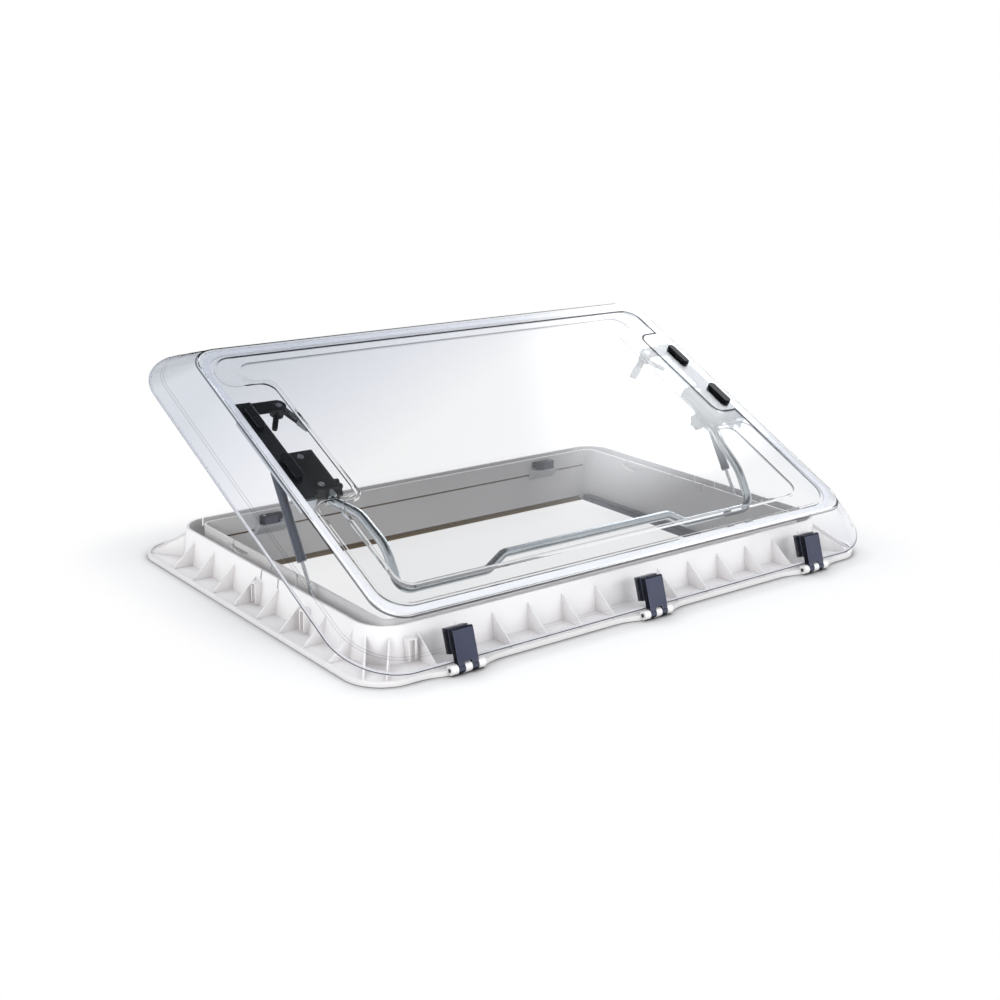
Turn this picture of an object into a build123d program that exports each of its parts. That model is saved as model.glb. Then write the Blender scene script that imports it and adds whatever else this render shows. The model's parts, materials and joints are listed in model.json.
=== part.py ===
"""Hinged double-glazed roof window for a camper: fixed frame, gas-strut dome, bow handle and blinds.

Millimetres, +Z up. Origin: centre of the roof cut-out on the roof skin, +X along the hinge side,
+Y towards the opening side. The dome is modelled open, as far as its gas struts push it.
"""
from build123d import *
import math
import os

os.makedirs("parts", exist_ok=True)

# Roof cut-out and outer frame
cutout_length = 960.0
cutout_width = 655.0
flange_reach = 50.0
flange_thickness = 5.0
flange_lip_height = 8.0
flange_lip_width = 5.0
flange_corner_radius = 65.0
collar_height = 60.5
collar_inset_x = 0.0
collar_inset_y = 13.5
collar_rim_radius = 54.0
collar_flare = 8.0
collar_wall = 4.0
spigot_clearance = 4.0
spigot_depth = 12.0
spigot_wall = 4.0
frame_corner_radius = 46.0
gasket_width = 22.0
gasket_depth = 2.5
gasket_inset = 10.0

# Gussets between flange and collar
gusset_thickness = 2.6
gusset_height = 46.0
gusset_lip_gap = 0.5
side_gusset_count = 8
side_gusset_shift = -10.1
front_gusset_margin = 18.0
front_gusset_count = 6
corner_gusset_angles = (30.0, 62.0)

# Inner frame around the opening
liner_inset_x = 34.0
liner_inset_y = 37.5
liner_radius = 20.0
liner_wall = 4.0
liner_depth = 48.0
liner_seat_gap = 0.3
liner_rib_thickness = 4.0
rim_slit_width = 4.0
rim_slit_depth = 15.0
liner_slit_places = (168.0, 40.0, -43.0)
rear_slit_place = 430.0
panel_groove_height = 28.0
panel_groove_size = 3.0
panel_groove_depth = 1.4
latch_slot_length = 72.0
latch_slot_drop = 10.5
latch_slot_top = 52.5
screw_head_radius = 4.0
screw_head_height = 2.4
screw_shank_radius = 2.0
screw_pitch_x = 180.0
screw_pitch_y = 150.0

# Clip boxes on the collar
clip_width = 14.0
clip_depth = 9.0
clip_height = 34.0
clip_base = 9.0
clip_wall = 2.2
clip_side_steps = (0.28, -1.82)
clip_front_inset = 55.0

# Hinge line
hinge_offset = 11.4
hinge_height = 8.1
hinge_end_inset = 108.0
hinge_pin_radius = 3.0
hinge_pin_length = 61.0
hinge_fit = 0.06
knuckle_radius = 7.4
knuckle_length = 11.6
knuckle_gap = 0.4
hinge_bump_length = 150.0

# Dome
open_angle = 26.1
dome_overhang_side = 21.0
dome_rim_front = 8.0
dome_overhang_rear = 12.6
dome_rim_height = 5.0
dome_rim_radius = 98.0
dome_top_side_reach = 7.0
dome_top_front_reach = 9.9
dome_top_rear_reach = 6.1
dome_top_height = 63.0
dome_top_radius = 46.0
dome_edge_radius = 9.0
outer_pane_thickness = 3.5
inner_pane_thickness = 3.0
bond_inset = 3.0
bond_gap = 0.2
seal_overhang = 3.0
seal_width = 11.0
seal_height = 3.6
bead_inset = 20.0
ledge_level = 53.3
tray_level = 48.0
tray_inset_side = 62.0
tray_inset_front = 56.0
tray_inset_rear = 38.0
bead_corner_radius = 46.0
bead_radius = 24.0
tray_corner_radius = 30.0
tray_radius = 20.0
notch_reach = 102.0
notch_front_reach = 65.0
notch_rear_reach = 225.0
notch_margin = 5.0

# Hinge brackets on the dome
bracket_width = 36.0
bracket_proud = 10.0
bracket_length = 48.0
bracket_overhang = 0.5
bracket_edge_radius = 3.0
bracket_screw_bite = 6.0
bracket_head_radius = 4.5
bracket_head_height = 2.5
bracket_inner_depth = 14.0
bracket_inner_start = 12.0
bracket_inner_end = 50.0
bracket_leg_width = 11.4
bracket_screw_spacing = 18.0

# Rails and plates under the dome, one set each side
plate_thickness = 3.5
plate_margin = 5.5
plate_front_reach = 50.0
plate_rear_reach = 181.0
rail_seal_gap = 0.5
rail_width = 21.0
rail_wall = 1.5
rail_depth = 23.0
rail_front_reach = 57.0
rail_rear_reach = 165.0
cap_length = 58.0
cap_width = 15.0
cap_height = 6.0
cap_inset = 12.0
cap_rear_shift = 138.0
cap_front_shift = 12.0
cap_stud_radius = 3.0
cap_edge_radius = 2.0
stud_nut_height = 3.5
stud_nut_radius = 5.0
nut_sides = 6
plate_head_radius = 5.5
plate_head_height = 2.0
socket_radius = 2.2
housing_screw_radius = 2.5
housing_screw_inset = 12.0
housing_screw_bite = 12.0

# Latch levers
lever_pivot_inset = 2.0
lever_hub_radius = 11.0
lever_depth = 16.0
lever_gap = 0.3
lever_arm_rise = 13.0
ear_margin = 2.0
tooth_count = 3
tooth_start = -120.0
tooth_pitch = 17.0
tooth_radius = 1.8
grip_extra = 1.0
grip_edge_radius = 2.5
lever_fit = 0.06
lever_screw_radius = 3.0
lever_arm_width = 13.0
lever_arm_thickness = 6.0
lever_reach_u = 47.0
lever_reach_v = 30.0
lever_drop = 24.0
lever_grip_length = 21.0
lever_nose_pass = 1.0
lever_nose_width = 9.0
lever_nose_height = 5.0
lever_turn = 59.0

# Bow handle, its pivots and star knobs
bow_tube_radius = 7.5
bow_tube_wall = 1.5
bow_pivot_shift = -19.0
bow_pivot_w = 30.0
bow_lug_gap = 0.6
bow_lug_width = 14.4
bow_lug_radius = 13.0
bow_bolt_radius = 4.0
bow_bolt_fit = 0.06
bow_start = (0.2, 9.0, 30.5)
bow_shoulder = (0.2, 28.0, 32.0)
bow_elbow = (22.4, 69.0, 35.5)
bow_arm = (31.4, 136.0, 27.0)
bow_corner = (32.4, 195.0, -12.0)
bow_step_low = (197.4, 195.0, -12.0)
bow_step_high = (233.4, 181.0, 2.0)
bow_bend_radii = (18.0, 40.0, 70.0, 24.0, 22.0, 22.0)
lug_sleeve = 13.0
lug_sleeve_wall = 1.8
knob_radius = 16.0
knob_thickness = 15.0
knob_gap = 2.8
knob_edge_radius = 1.5
knob_bore_depth = 12.0
knob_lobes = 6
knob_lobe_radius = 5.0
housing_rail_gap = 10.5
housing_cheek = 20.8
housing_edge = 0.2
housing_front_reach = 22.0
housing_lug_gap = 6.0
housing_shelf = 50.0
housing_depth_deep = 36.0
housing_depth_shallow = 17.0
bolt_bite = 12.0
rib_count = 5
rib_pitch = 8.0

# Gas struts in the gap between collar and inner frame
strut_low_y = -142.5
strut_low_z = 5.0
strut_high_shift = 65.0
strut_high_w = 36.0
strut_tube_radius = 7.5
strut_rod_radius = 3.0
strut_rod_exposed = 108.0
strut_rod_hidden = 60.0
strut_eye_radius = 7.5
strut_eye_width = 8.0
strut_pin_radius = 3.5
strut_fit = 0.06
strut_eye_neck = 20.0
strut_neck_radius = 3.8
strut_plug = 10.0
strut_guide = 4.0
strut_piston_radius = 6.0
strut_piston_length = 6.0
strut_ring_width = 4.0
strut_ring_radius = 8.3
strut_bracket_inset = 2.5
strut_bracket_gap = 0.3
strut_bracket_thickness = 3.0
strut_bracket_width = 26.0

# Rear catches on the inner frame
catch_place = 313.0
catch_length = 46.0
catch_depth = 18.0
catch_height = 15.0
catch_base_z = 40.0
catch_pin_radius = 2.5
catch_fit = 0.06
pedestal_length = 60.0
pedestal_height = 11.0
catch_gap = 0.3

# Blind and fly screen
guide_level = -40.0
guide_groove = 6.0
guide_groove_depth = 2.2
pull_bar_width = 20.0
pull_bar_height = 12.0
pull_bar_gap = 1.5
pull_shoe_gap = 0.4
pull_grip_length = 110.0
pull_grip_depth = 7.0
cassette_depth = 25.0
cassette_top = -21.0
cassette_wall = 2.0
cassette_end_inset = 30.0
pleat_depth = 18.0
pleat_height = 12.0
clear_cut = 1.0
guide_seal_thickness = 1.0
guide_seal_height = 4.0
catch_wall_gap = 1.0
catch_edge_radius = 1.5
pull_bar_edge = 4.0
pull_grip_height = 9.0
pull_shoe_width = 4.6
bracket_screw_radius = 2.5

# Derived frame sizes
cutout_half_x = cutout_length / 2
cutout_half_y = cutout_width / 2
flange_half_x = cutout_half_x + flange_reach
flange_half_y = cutout_half_y + flange_reach
hinge_y = -flange_half_y - hinge_offset
collar_half_x = cutout_half_x - collar_inset_x
collar_half_y = cutout_half_y - collar_inset_y
liner_half_x = cutout_half_x - liner_inset_x
liner_half_y = cutout_half_y - liner_inset_y
hinge_pitch = collar_half_x - hinge_end_inset
front_gusset_pitch = (collar_half_x - collar_rim_radius - front_gusset_margin) / front_gusset_count
side_gusset_span = 2 * (collar_half_y - collar_rim_radius + side_gusset_shift)
side_gusset_pitch = side_gusset_span / (side_gusset_count - 1)
liner_inner_x = liner_half_x - liner_wall
liner_inner_y = liner_half_y - liner_wall
spigot_half_x = cutout_half_x - spigot_clearance
spigot_half_y = cutout_half_y - spigot_clearance
spigot_inner_x = spigot_half_x - spigot_wall
spigot_inner_y = spigot_half_y - spigot_wall
spigot_floor = -spigot_depth + spigot_wall
clip_side_places = [side_gusset_shift + side_gusset_pitch * step for step in clip_side_steps]
clip_front_place = collar_half_x - clip_front_inset

# Derived dome sizes, outwards from the middle (half lengths) and from the hinge line (front and rear)
dome_half_length = flange_half_x + dome_overhang_side
dome_rim_rear = flange_half_y - hinge_y + dome_overhang_rear
dome_top_half_length = collar_half_x + dome_top_side_reach
dome_top_front = -collar_half_y - hinge_y - dome_top_front_reach
dome_top_rear = collar_half_y - hinge_y + dome_top_rear_reach

# Derived places of the hardware along the dome, from the middle of its top
dome_middle = (dome_top_front + dome_top_rear) / 2
notch_front = dome_middle - notch_front_reach
notch_rear = dome_middle + notch_rear_reach
plate_front = dome_middle - plate_front_reach
plate_rear = dome_middle + plate_rear_reach
rail_front = dome_middle - rail_front_reach
rail_rear = dome_middle + rail_rear_reach
cap_rear_place = dome_middle + cap_rear_shift
cap_front_place = dome_middle + cap_front_shift
bow_pivot_v = dome_middle + bow_pivot_shift
strut_high_v = dome_middle + strut_high_shift

# Derived places of the hardware on each side, from the collar inwards
rail_outer = collar_half_x + seal_overhang - seal_width - rail_seal_gap
rail_inner = rail_outer - rail_width
plate_inner = rail_inner - plate_margin
cap_offset = rail_outer - cap_inset
strut_plane = (rail_outer + rail_inner) / 2
housing_outer = rail_inner - housing_rail_gap
housing_step = housing_outer - housing_cheek
bow_lug_outer = housing_step - bow_lug_gap
lug_inner = bow_lug_outer - bow_lug_width
lug_middle = bow_lug_outer - bow_lug_width / 2
housing_inner = lug_inner - housing_edge
lever_pivot_u = housing_inner - lever_pivot_inset
lever_pivot_v = rail_rear
lever_nose_length = liner_half_x + lever_nose_pass - lever_pivot_u
housing_front = bow_pivot_v - housing_front_reach
housing_mid = bow_pivot_v + bow_lug_radius + housing_lug_gap
housing_rear = housing_mid + housing_shelf

# Dome frame: local X along the hinge line, local Y away from it, local Z out of the pane
tilt = math.radians(open_angle)
dome_plane = Plane(
    origin=(0, hinge_y, hinge_height),
    x_dir=(1, 0, 0),
    z_dir=(0, -math.sin(tilt), math.cos(tilt)),
)
pane_under = dome_top_height - outer_pane_thickness
bond_top = pane_under - bond_gap
bond_under = bond_top - inner_pane_thickness
plate_top = bond_under - bond_gap
plate_under = plate_top - plate_thickness


def keep(piece, label):
    """Name a finished piece and write its file."""
    piece.label = label
    export_step(piece, f"parts/{label}.step")


def on_dome(u, v, w):
    """World point of dome coordinates."""
    return dome_plane.from_local_coords(Vector(u, v, w))


def dome_level(w):
    """Plane parallel to the pane at height w."""
    return dome_plane.offset(w)


def dome_side(u):
    """Plane across the hinge line at u: its local X is v and its local Y is w."""
    return Plane(origin=on_dome(u, 0, 0), x_dir=dome_plane.y_dir, z_dir=dome_plane.x_dir)


def side_name(side):
    """Left is at negative X."""
    return "left" if side < 0 else "right"


def skirt_point(along, out):
    """Dome coordinates (v, w) on the front skirt: along it from the rim, and out of it."""
    run = dome_top_front - dome_rim_front
    rise = dome_top_height - dome_rim_height
    slope = math.hypot(run, rise)
    return (
        dome_rim_front + along * run / slope - out * rise / slope,
        dome_rim_height + along * rise / slope + out * run / slope,
    )


# Outer frame: flange ring, collar with spigot, gussets between them, hinge knuckles
collar_base_radius = collar_rim_radius + collar_flare
hinge_places = [hinge_pitch * step for step in (-1, 0, 1)]
white_knuckle_places = [-2 * (knuckle_length + knuckle_gap), 0, 2 * (knuckle_length + knuckle_gap)]
black_knuckle_places = [-(knuckle_length + knuckle_gap), knuckle_length + knuckle_gap]

rib_middle_x = (liner_half_x + spigot_inner_x) / 2
rib_middle_y = (liner_half_y + spigot_inner_y) / 2
screw_spots = [
    (step * screw_pitch_x, side * rib_middle_y) for step in (-2, -1, 0, 1, 2) for side in (-1, 1)
]
screw_spots += [(side * rib_middle_x, step * screw_pitch_y) for step in (0, 1) for side in (-1, 1)]


def collar_half_at(z):
    """Outer half size of the collar along X and Y at height z."""
    share = (collar_height - z) / (collar_height - flange_thickness)
    return collar_half_x + collar_flare * share, collar_half_y + collar_flare * share


foot_x, foot_y = collar_half_at(flange_thickness)
top_x, top_y = collar_half_at(gusset_height)


def frame_ring(half_x, half_y, radius, inset, width):
    """Rounded rectangular ring, inset from the given outline, for the sketch in hand."""
    RectangleRounded(2 * (half_x - inset), 2 * (half_y - inset), radius - inset)
    RectangleRounded(
        2 * (half_x - inset - width),
        2 * (half_y - inset - width),
        radius - inset - width,
        mode=Mode.SUBTRACT,
    )


# Body bounded by the outside of the collar, wider at its foot than at its rim
with BuildPart() as collar_body:
    with BuildSketch(Plane.XY.offset(flange_thickness)):
        RectangleRounded(2 * foot_x, 2 * foot_y, collar_base_radius)
    with BuildSketch(Plane.XY.offset(collar_height)):
        RectangleRounded(2 * collar_half_x, 2 * collar_half_y, collar_rim_radius)
    loft()

with BuildPart() as outer_frame:
    add(collar_body.part)
    # Spigot that drops into the roof cut-out
    with BuildSketch(Plane.XY.offset(-spigot_depth)):
        RectangleRounded(2 * spigot_half_x, 2 * spigot_half_y, frame_corner_radius)
    extrude(amount=spigot_depth + flange_thickness)
    # Hollow of the collar and the gap around the inner frame
    with BuildSketch(Plane.XY.offset(flange_thickness)):
        RectangleRounded(
            2 * (foot_x - collar_wall), 2 * (foot_y - collar_wall), collar_base_radius - collar_wall
        )
    with BuildSketch(Plane.XY.offset(collar_height)):
        RectangleRounded(
            2 * (collar_half_x - collar_wall),
            2 * (collar_half_y - collar_wall),
            collar_rim_radius - collar_wall,
        )
    loft(mode=Mode.SUBTRACT)
    with BuildSketch(Plane.XY.offset(-spigot_depth)):
        RectangleRounded(2 * spigot_inner_x, 2 * spigot_inner_y, frame_corner_radius - spigot_wall)
    extrude(amount=spigot_depth + flange_thickness, mode=Mode.SUBTRACT)
    # Slits in the collar rim
    for side in (-1, 1):
        with BuildSketch(Plane.XY.offset(collar_height)):
            with Locations((side * rear_slit_place, collar_half_y)):
                Rectangle(rim_slit_width, 4 * collar_wall)
            with Locations((side * collar_half_x, clip_side_places[0])):
                Rectangle(4 * collar_wall, rim_slit_width)
            with Locations((side * collar_half_x, liner_slit_places[-1])):
                Rectangle(4 * collar_wall, rim_slit_width)
        extrude(amount=-rim_slit_depth, mode=Mode.SUBTRACT)
keep(outer_frame.part, "outer_frame")

# Ledge inside the foot of the spigot, screwed to the inner frame
with BuildPart() as spigot_ledge:
    with BuildSketch(Plane.XY.offset(-spigot_depth)):
        RectangleRounded(2 * spigot_inner_x, 2 * spigot_inner_y, frame_corner_radius - spigot_wall)
        RectangleRounded(
            2 * (liner_half_x + liner_seat_gap),
            2 * (liner_half_y + liner_seat_gap),
            liner_radius + liner_seat_gap,
            mode=Mode.SUBTRACT,
        )
        with Locations(*screw_spots):
            Circle(screw_shank_radius, mode=Mode.SUBTRACT)
    extrude(amount=spigot_wall)
keep(spigot_ledge.part, "spigot_ledge")

with BuildPart() as frame_flange:
    with BuildSketch():
        RectangleRounded(2 * flange_half_x, 2 * flange_half_y, flange_corner_radius)
        RectangleRounded(2 * spigot_half_x, 2 * spigot_half_y, frame_corner_radius, mode=Mode.SUBTRACT)
    extrude(amount=flange_thickness)
    with BuildSketch():
        frame_ring(flange_half_x, flange_half_y, flange_corner_radius, 0, flange_lip_width)
    extrude(amount=flange_lip_height)
    # Bumps of the lip below the hinges
    for place in hinge_places:
        with BuildSketch():
            with BuildLine():
                Spline(
                    (place - hinge_bump_length / 2, -flange_half_y),
                    (place - hinge_pin_length / 2, hinge_y + knuckle_radius / 4),
                    (place + hinge_pin_length / 2, hinge_y + knuckle_radius / 4),
                    (place + hinge_bump_length / 2, -flange_half_y),
                    tangents=((1, 0), (1, 0)),
                )
                Polyline(
                    (place + hinge_bump_length / 2, -flange_half_y),
                    (place + hinge_bump_length / 2, -flange_half_y + flange_lip_width),
                    (place - hinge_bump_length / 2, -flange_half_y + flange_lip_width),
                    (place - hinge_bump_length / 2, -flange_half_y),
                )
            make_face()
        extrude(amount=flange_lip_height)
    # Groove for the gasket under the flange
    with BuildSketch():
        frame_ring(flange_half_x, flange_half_y, flange_corner_radius, gasket_inset, gasket_width)
    extrude(amount=gasket_depth, mode=Mode.SUBTRACT)
    # Seats of the white knuckles and room for the black ones
    with BuildSketch(*[Plane.YZ.offset(place) for place in hinge_places]):
        with Locations((hinge_y, hinge_height)):
            Circle(knuckle_radius)
    extrude(amount=white_knuckle_places[-1] + knuckle_length / 2, both=True, mode=Mode.SUBTRACT)
    gap_spots = [place + shift for place in hinge_places for shift in black_knuckle_places]
    with BuildSketch(*[Plane.YZ.offset(spot) for spot in gap_spots]):
        with Locations((hinge_y, hinge_height)):
            Circle(knuckle_radius + 2 * knuckle_gap)
    extrude(amount=knuckle_length / 2 + knuckle_gap, both=True, mode=Mode.SUBTRACT)
    # Holes for the hinge pins
    with BuildSketch(*[Plane.YZ.offset(place) for place in hinge_places]):
        with Locations((hinge_y, hinge_height)):
            Circle(hinge_pin_radius)
    extrude(amount=hinge_pin_length / 2, both=True, mode=Mode.SUBTRACT)
keep(frame_flange.part, "frame_flange")

with BuildPart() as hinge_knuckles:
    knuckle_spots = [place + shift for place in hinge_places for shift in white_knuckle_places]
    with BuildSketch(*[Plane.YZ.offset(spot) for spot in knuckle_spots]):
        with Locations((hinge_y, hinge_height)):
            Circle(knuckle_radius)
            Circle(hinge_pin_radius, mode=Mode.SUBTRACT)
    extrude(amount=knuckle_length / 2, both=True)
keep(hinge_knuckles.part, "hinge_knuckles")

# Gussets stand on the flange and lean on the collar, which trims them
web_foot_x = flange_half_x - flange_lip_width - gusset_lip_gap
web_foot_y = flange_half_y - flange_lip_width - gusset_lip_gap
with BuildPart() as frame_gussets:
    side_middle = (side_gusset_count - 1) / 2
    side_places = [
        side_gusset_shift + side_gusset_pitch * (step - side_middle) for step in range(side_gusset_count)
    ]
    with BuildSketch(*[Plane.XZ.offset(-place) for place in side_places]):
        for side in (-1, 1):
            with BuildLine():
                Polyline(
                    (side * web_foot_x, flange_thickness),
                    (side * top_x, flange_thickness),
                    (side * top_x, gusset_height),
                    close=True,
                )
            make_face()
    extrude(amount=gusset_thickness / 2, both=True)
    # Along the hinge side and the opening side, with room for the middle hinge
    front_steps = range(-front_gusset_count, front_gusset_count + 1)
    hinge_side_places = [step * front_gusset_pitch for step in front_steps if step]
    open_side_places = [step * front_gusset_pitch for step in front_steps]
    for side, places in ((-1, hinge_side_places), (1, open_side_places)):
        with BuildSketch(*[Plane.YZ.offset(place) for place in places]):
            with BuildLine():
                Polyline(
                    (side * web_foot_y, flange_thickness),
                    (side * top_y, flange_thickness),
                    (side * top_y, gusset_height),
                    close=True,
                )
            make_face()
        extrude(amount=gusset_thickness / 2, both=True)
    # Radial ones in the corners
    for angle in corner_gusset_angles:
        turn = math.radians(angle)
        radial = Vector(math.cos(turn), math.sin(turn))
        foot_spot = radial * (flange_corner_radius - flange_lip_width - gusset_lip_gap) + Vector(
            flange_half_x - flange_corner_radius, flange_half_y - flange_corner_radius
        )
        root_spot = radial * collar_base_radius + Vector(
            collar_half_x - collar_rim_radius, collar_half_y - collar_rim_radius
        )
        web_length = (foot_spot - root_spot).length
        web_lean = (foot_x - top_x) / (foot_spot - root_spot).normalized().dot(radial)
        web_planes = []
        for side_x in (-1, 1):
            for side_y in (-1, 1):
                start = Vector(side_x * root_spot.X, side_y * root_spot.Y, flange_thickness)
                end = Vector(side_x * foot_spot.X, side_y * foot_spot.Y, flange_thickness)
                outward = (end - start).normalized()
                web_planes.append(
                    Plane(origin=start, x_dir=outward, z_dir=outward.cross(Vector(0, 0, 1)))
                )
        with BuildSketch(*web_planes):
            with BuildLine():
                Polyline(
                    (-web_lean - gusset_thickness, 0),
                    (web_length, 0),
                    (-web_lean - gusset_thickness, gusset_height - flange_thickness),
                    close=True,
                )
            make_face()
        extrude(amount=gusset_thickness / 2, both=True)
    add(collar_body.part, mode=Mode.SUBTRACT)
keep(frame_gussets.part, "frame_gussets")

# Gasket pressed between flange and roof
with BuildPart() as roof_gasket:
    with BuildSketch():
        frame_ring(flange_half_x, flange_half_y, flange_corner_radius, gasket_inset, gasket_width)
    extrude(amount=gasket_depth)
keep(roof_gasket.part, "roof_gasket")

# Inner frame: the walls around the opening
rib_top = -spigot_depth
latch_slot_y = hinge_y + lever_pivot_v - lever_nose_width
guide_half_length = liner_inner_x - liner_radius + liner_wall

with BuildPart() as inner_frame:
    with BuildSketch(Plane.XY.offset(-liner_depth)):
        RectangleRounded(2 * liner_half_x, 2 * liner_half_y, liner_radius)
    extrude(amount=liner_depth + collar_height)
    with BuildSketch(Plane.XY.offset(-liner_depth)):
        RectangleRounded(2 * liner_inner_x, 2 * liner_inner_y, liner_radius - liner_wall)
    extrude(amount=liner_depth + collar_height, mode=Mode.SUBTRACT)
    # Guide grooves for the pull bars along both long walls
    with BuildSketch(Plane.XY.offset(guide_level)):
        Rectangle(2 * guide_half_length, 2 * (liner_inner_y + guide_groove_depth))
    extrude(amount=guide_groove / 2, both=True, mode=Mode.SUBTRACT)
    # Panel grooves on both long walls
    with BuildSketch(Plane.XY.offset(panel_groove_height)):
        Rectangle(2 * guide_half_length, 2 * (liner_inner_y + panel_groove_depth))
    extrude(amount=panel_groove_size / 2, both=True, mode=Mode.SUBTRACT)
    # Slots in the short walls for blind and fly screen
    with BuildSketch(Plane.XY.offset(guide_level)):
        Rectangle(2 * (liner_half_x + clear_cut), 2 * (liner_inner_y - cassette_end_inset))
        Rectangle(
            2 * liner_inner_x - clear_cut,
            2 * liner_inner_y,
            mode=Mode.SUBTRACT,
        )
    extrude(amount=guide_groove / 2, both=True, mode=Mode.SUBTRACT)
    # Slits in the rim
    for side in (-1, 1):
        with BuildSketch(Plane.XY.offset(collar_height)):
            for place in liner_slit_places:
                with Locations((side * (liner_half_x - liner_wall / 2), place)):
                    Rectangle(2 * liner_wall, rim_slit_width)
        extrude(amount=-rim_slit_depth, mode=Mode.SUBTRACT)
    # Crescent slots that take the noses of the latch levers
    with BuildSketch(Plane.YZ):
        with BuildLine():
            Line(
                (latch_slot_y - latch_slot_length / 2, latch_slot_top),
                (latch_slot_y + latch_slot_length / 2, latch_slot_top),
            )
            ThreePointArc(
                (latch_slot_y + latch_slot_length / 2, latch_slot_top),
                (latch_slot_y, latch_slot_top - latch_slot_drop),
                (latch_slot_y - latch_slot_length / 2, latch_slot_top),
            )
        make_face()
    extrude(amount=liner_half_x + clear_cut, both=True, mode=Mode.SUBTRACT)
keep(inner_frame.part, "inner_frame")

# Rib of the inner frame, screwed up against the spigot floor
with BuildPart() as inner_rib:
    with BuildSketch(Plane.XY.offset(rib_top - liner_rib_thickness)):
        RectangleRounded(2 * spigot_half_x, 2 * spigot_half_y, frame_corner_radius)
        RectangleRounded(2 * liner_half_x, 2 * liner_half_y, liner_radius, mode=Mode.SUBTRACT)
        with Locations(*screw_spots):
            Circle(screw_shank_radius, mode=Mode.SUBTRACT)
    extrude(amount=liner_rib_thickness)
keep(inner_rib.part, "inner_rib")

# Screws from the gap down through the spigot floor into the rib
with BuildPart() as frame_screws:
    with BuildSketch(Plane.XY.offset(spigot_floor)):
        with Locations(*screw_spots):
            Circle(screw_head_radius)
    extrude(amount=screw_head_height)
    with BuildSketch(Plane.XY.offset(rib_top - liner_rib_thickness)):
        with Locations(*screw_spots):
            Circle(screw_shank_radius)
    extrude(amount=liner_rib_thickness + spigot_wall)
keep(frame_screws.part, "frame_screws")

# Clip boxes that snap over the collar foot
clip_top = clip_base + clip_height
with BuildPart() as frame_clips:
    low_x, low_y = collar_half_at(clip_base)
    high_x, high_y = collar_half_at(clip_top)
    with BuildSketch(*[Plane.XZ.offset(-place) for place in clip_side_places]):
        for side in (-1, 1):
            with BuildLine():
                Polyline(
                    (side * low_x, clip_base),
                    (side * high_x, clip_top),
                    (side * (low_x + clip_depth), clip_top),
                    (side * (low_x + clip_depth), clip_base),
                    close=True,
                )
            make_face()
    extrude(amount=clip_width / 2, both=True)
    with BuildSketch(Plane.YZ.offset(clip_front_place), Plane.YZ.offset(-clip_front_place)):
        with BuildLine():
            Polyline(
                (-low_y, clip_base),
                (-high_y, clip_top),
                (-(low_y + clip_depth), clip_top),
                (-(low_y + clip_depth), clip_base),
                close=True,
            )
        make_face()
    extrude(amount=clip_width / 2, both=True)
    # Open channel down the middle of each box
    channel = clip_width - 2 * clip_wall
    with BuildSketch(Plane.XY.offset(clip_base)):
        for side in (-1, 1):
            for place in clip_side_places:
                with Locations((side * (low_x + clip_depth), place)):
                    Rectangle(2 * (clip_depth - clip_wall), channel)
            with Locations((side * clip_front_place, -(low_y + clip_depth))):
                Rectangle(channel, 2 * (clip_depth - clip_wall))
    extrude(amount=clip_height - clip_wall, mode=Mode.SUBTRACT)
keep(frame_clips.part, "frame_clips")

# Hinge pins
with BuildPart() as hinge_pins:
    with BuildSketch(*[Plane.YZ.offset(place) for place in hinge_places]):
        with Locations((hinge_y, hinge_height)):
            Circle(hinge_pin_radius)
    extrude(amount=hinge_pin_length / 2, both=True)
keep(hinge_pins.part, "hinge_pins")

# Brown pile strips along the foot of the long walls
with BuildPart() as guide_seals:
    with BuildSketch(Plane.XY.offset(-liner_depth + guide_seal_thickness)):
        for side in (-1, 1):
            with Locations((0, side * (liner_inner_y - guide_seal_thickness / 2))):
                Rectangle(2 * guide_half_length, guide_seal_thickness)
    extrude(amount=guide_seal_height)
keep(guide_seals.part, "guide_seals")

# Pedestals of the rear catches
pedestal_top = catch_base_z - catch_gap
catch_back = liner_inner_y - catch_wall_gap
catch_pivot_x = catch_place + catch_length / 2 - catch_depth / 2
catch_pivot_y = catch_back - catch_depth / 2
with BuildPart() as catch_pedestals:
    with BuildSketch(Plane.YZ.offset(catch_place), Plane.YZ.offset(-catch_place)):
        with BuildLine():
            Polyline(
                (liner_inner_y, pedestal_top),
                (catch_back - catch_depth, pedestal_top),
                (catch_back - catch_depth, pedestal_top - pedestal_height / 2),
                (liner_inner_y, pedestal_top - 2 * pedestal_height),
                close=True,
            )
        make_face()
    extrude(amount=pedestal_length / 2, both=True)
    with BuildSketch(Plane.XY.offset(pedestal_top)):
        with Locations((catch_pivot_x, catch_pivot_y), (-catch_pivot_x, catch_pivot_y)):
            Circle(catch_pin_radius)
    extrude(amount=catch_height + catch_gap)
keep(catch_pedestals.part, "catch_pedestals")

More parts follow.
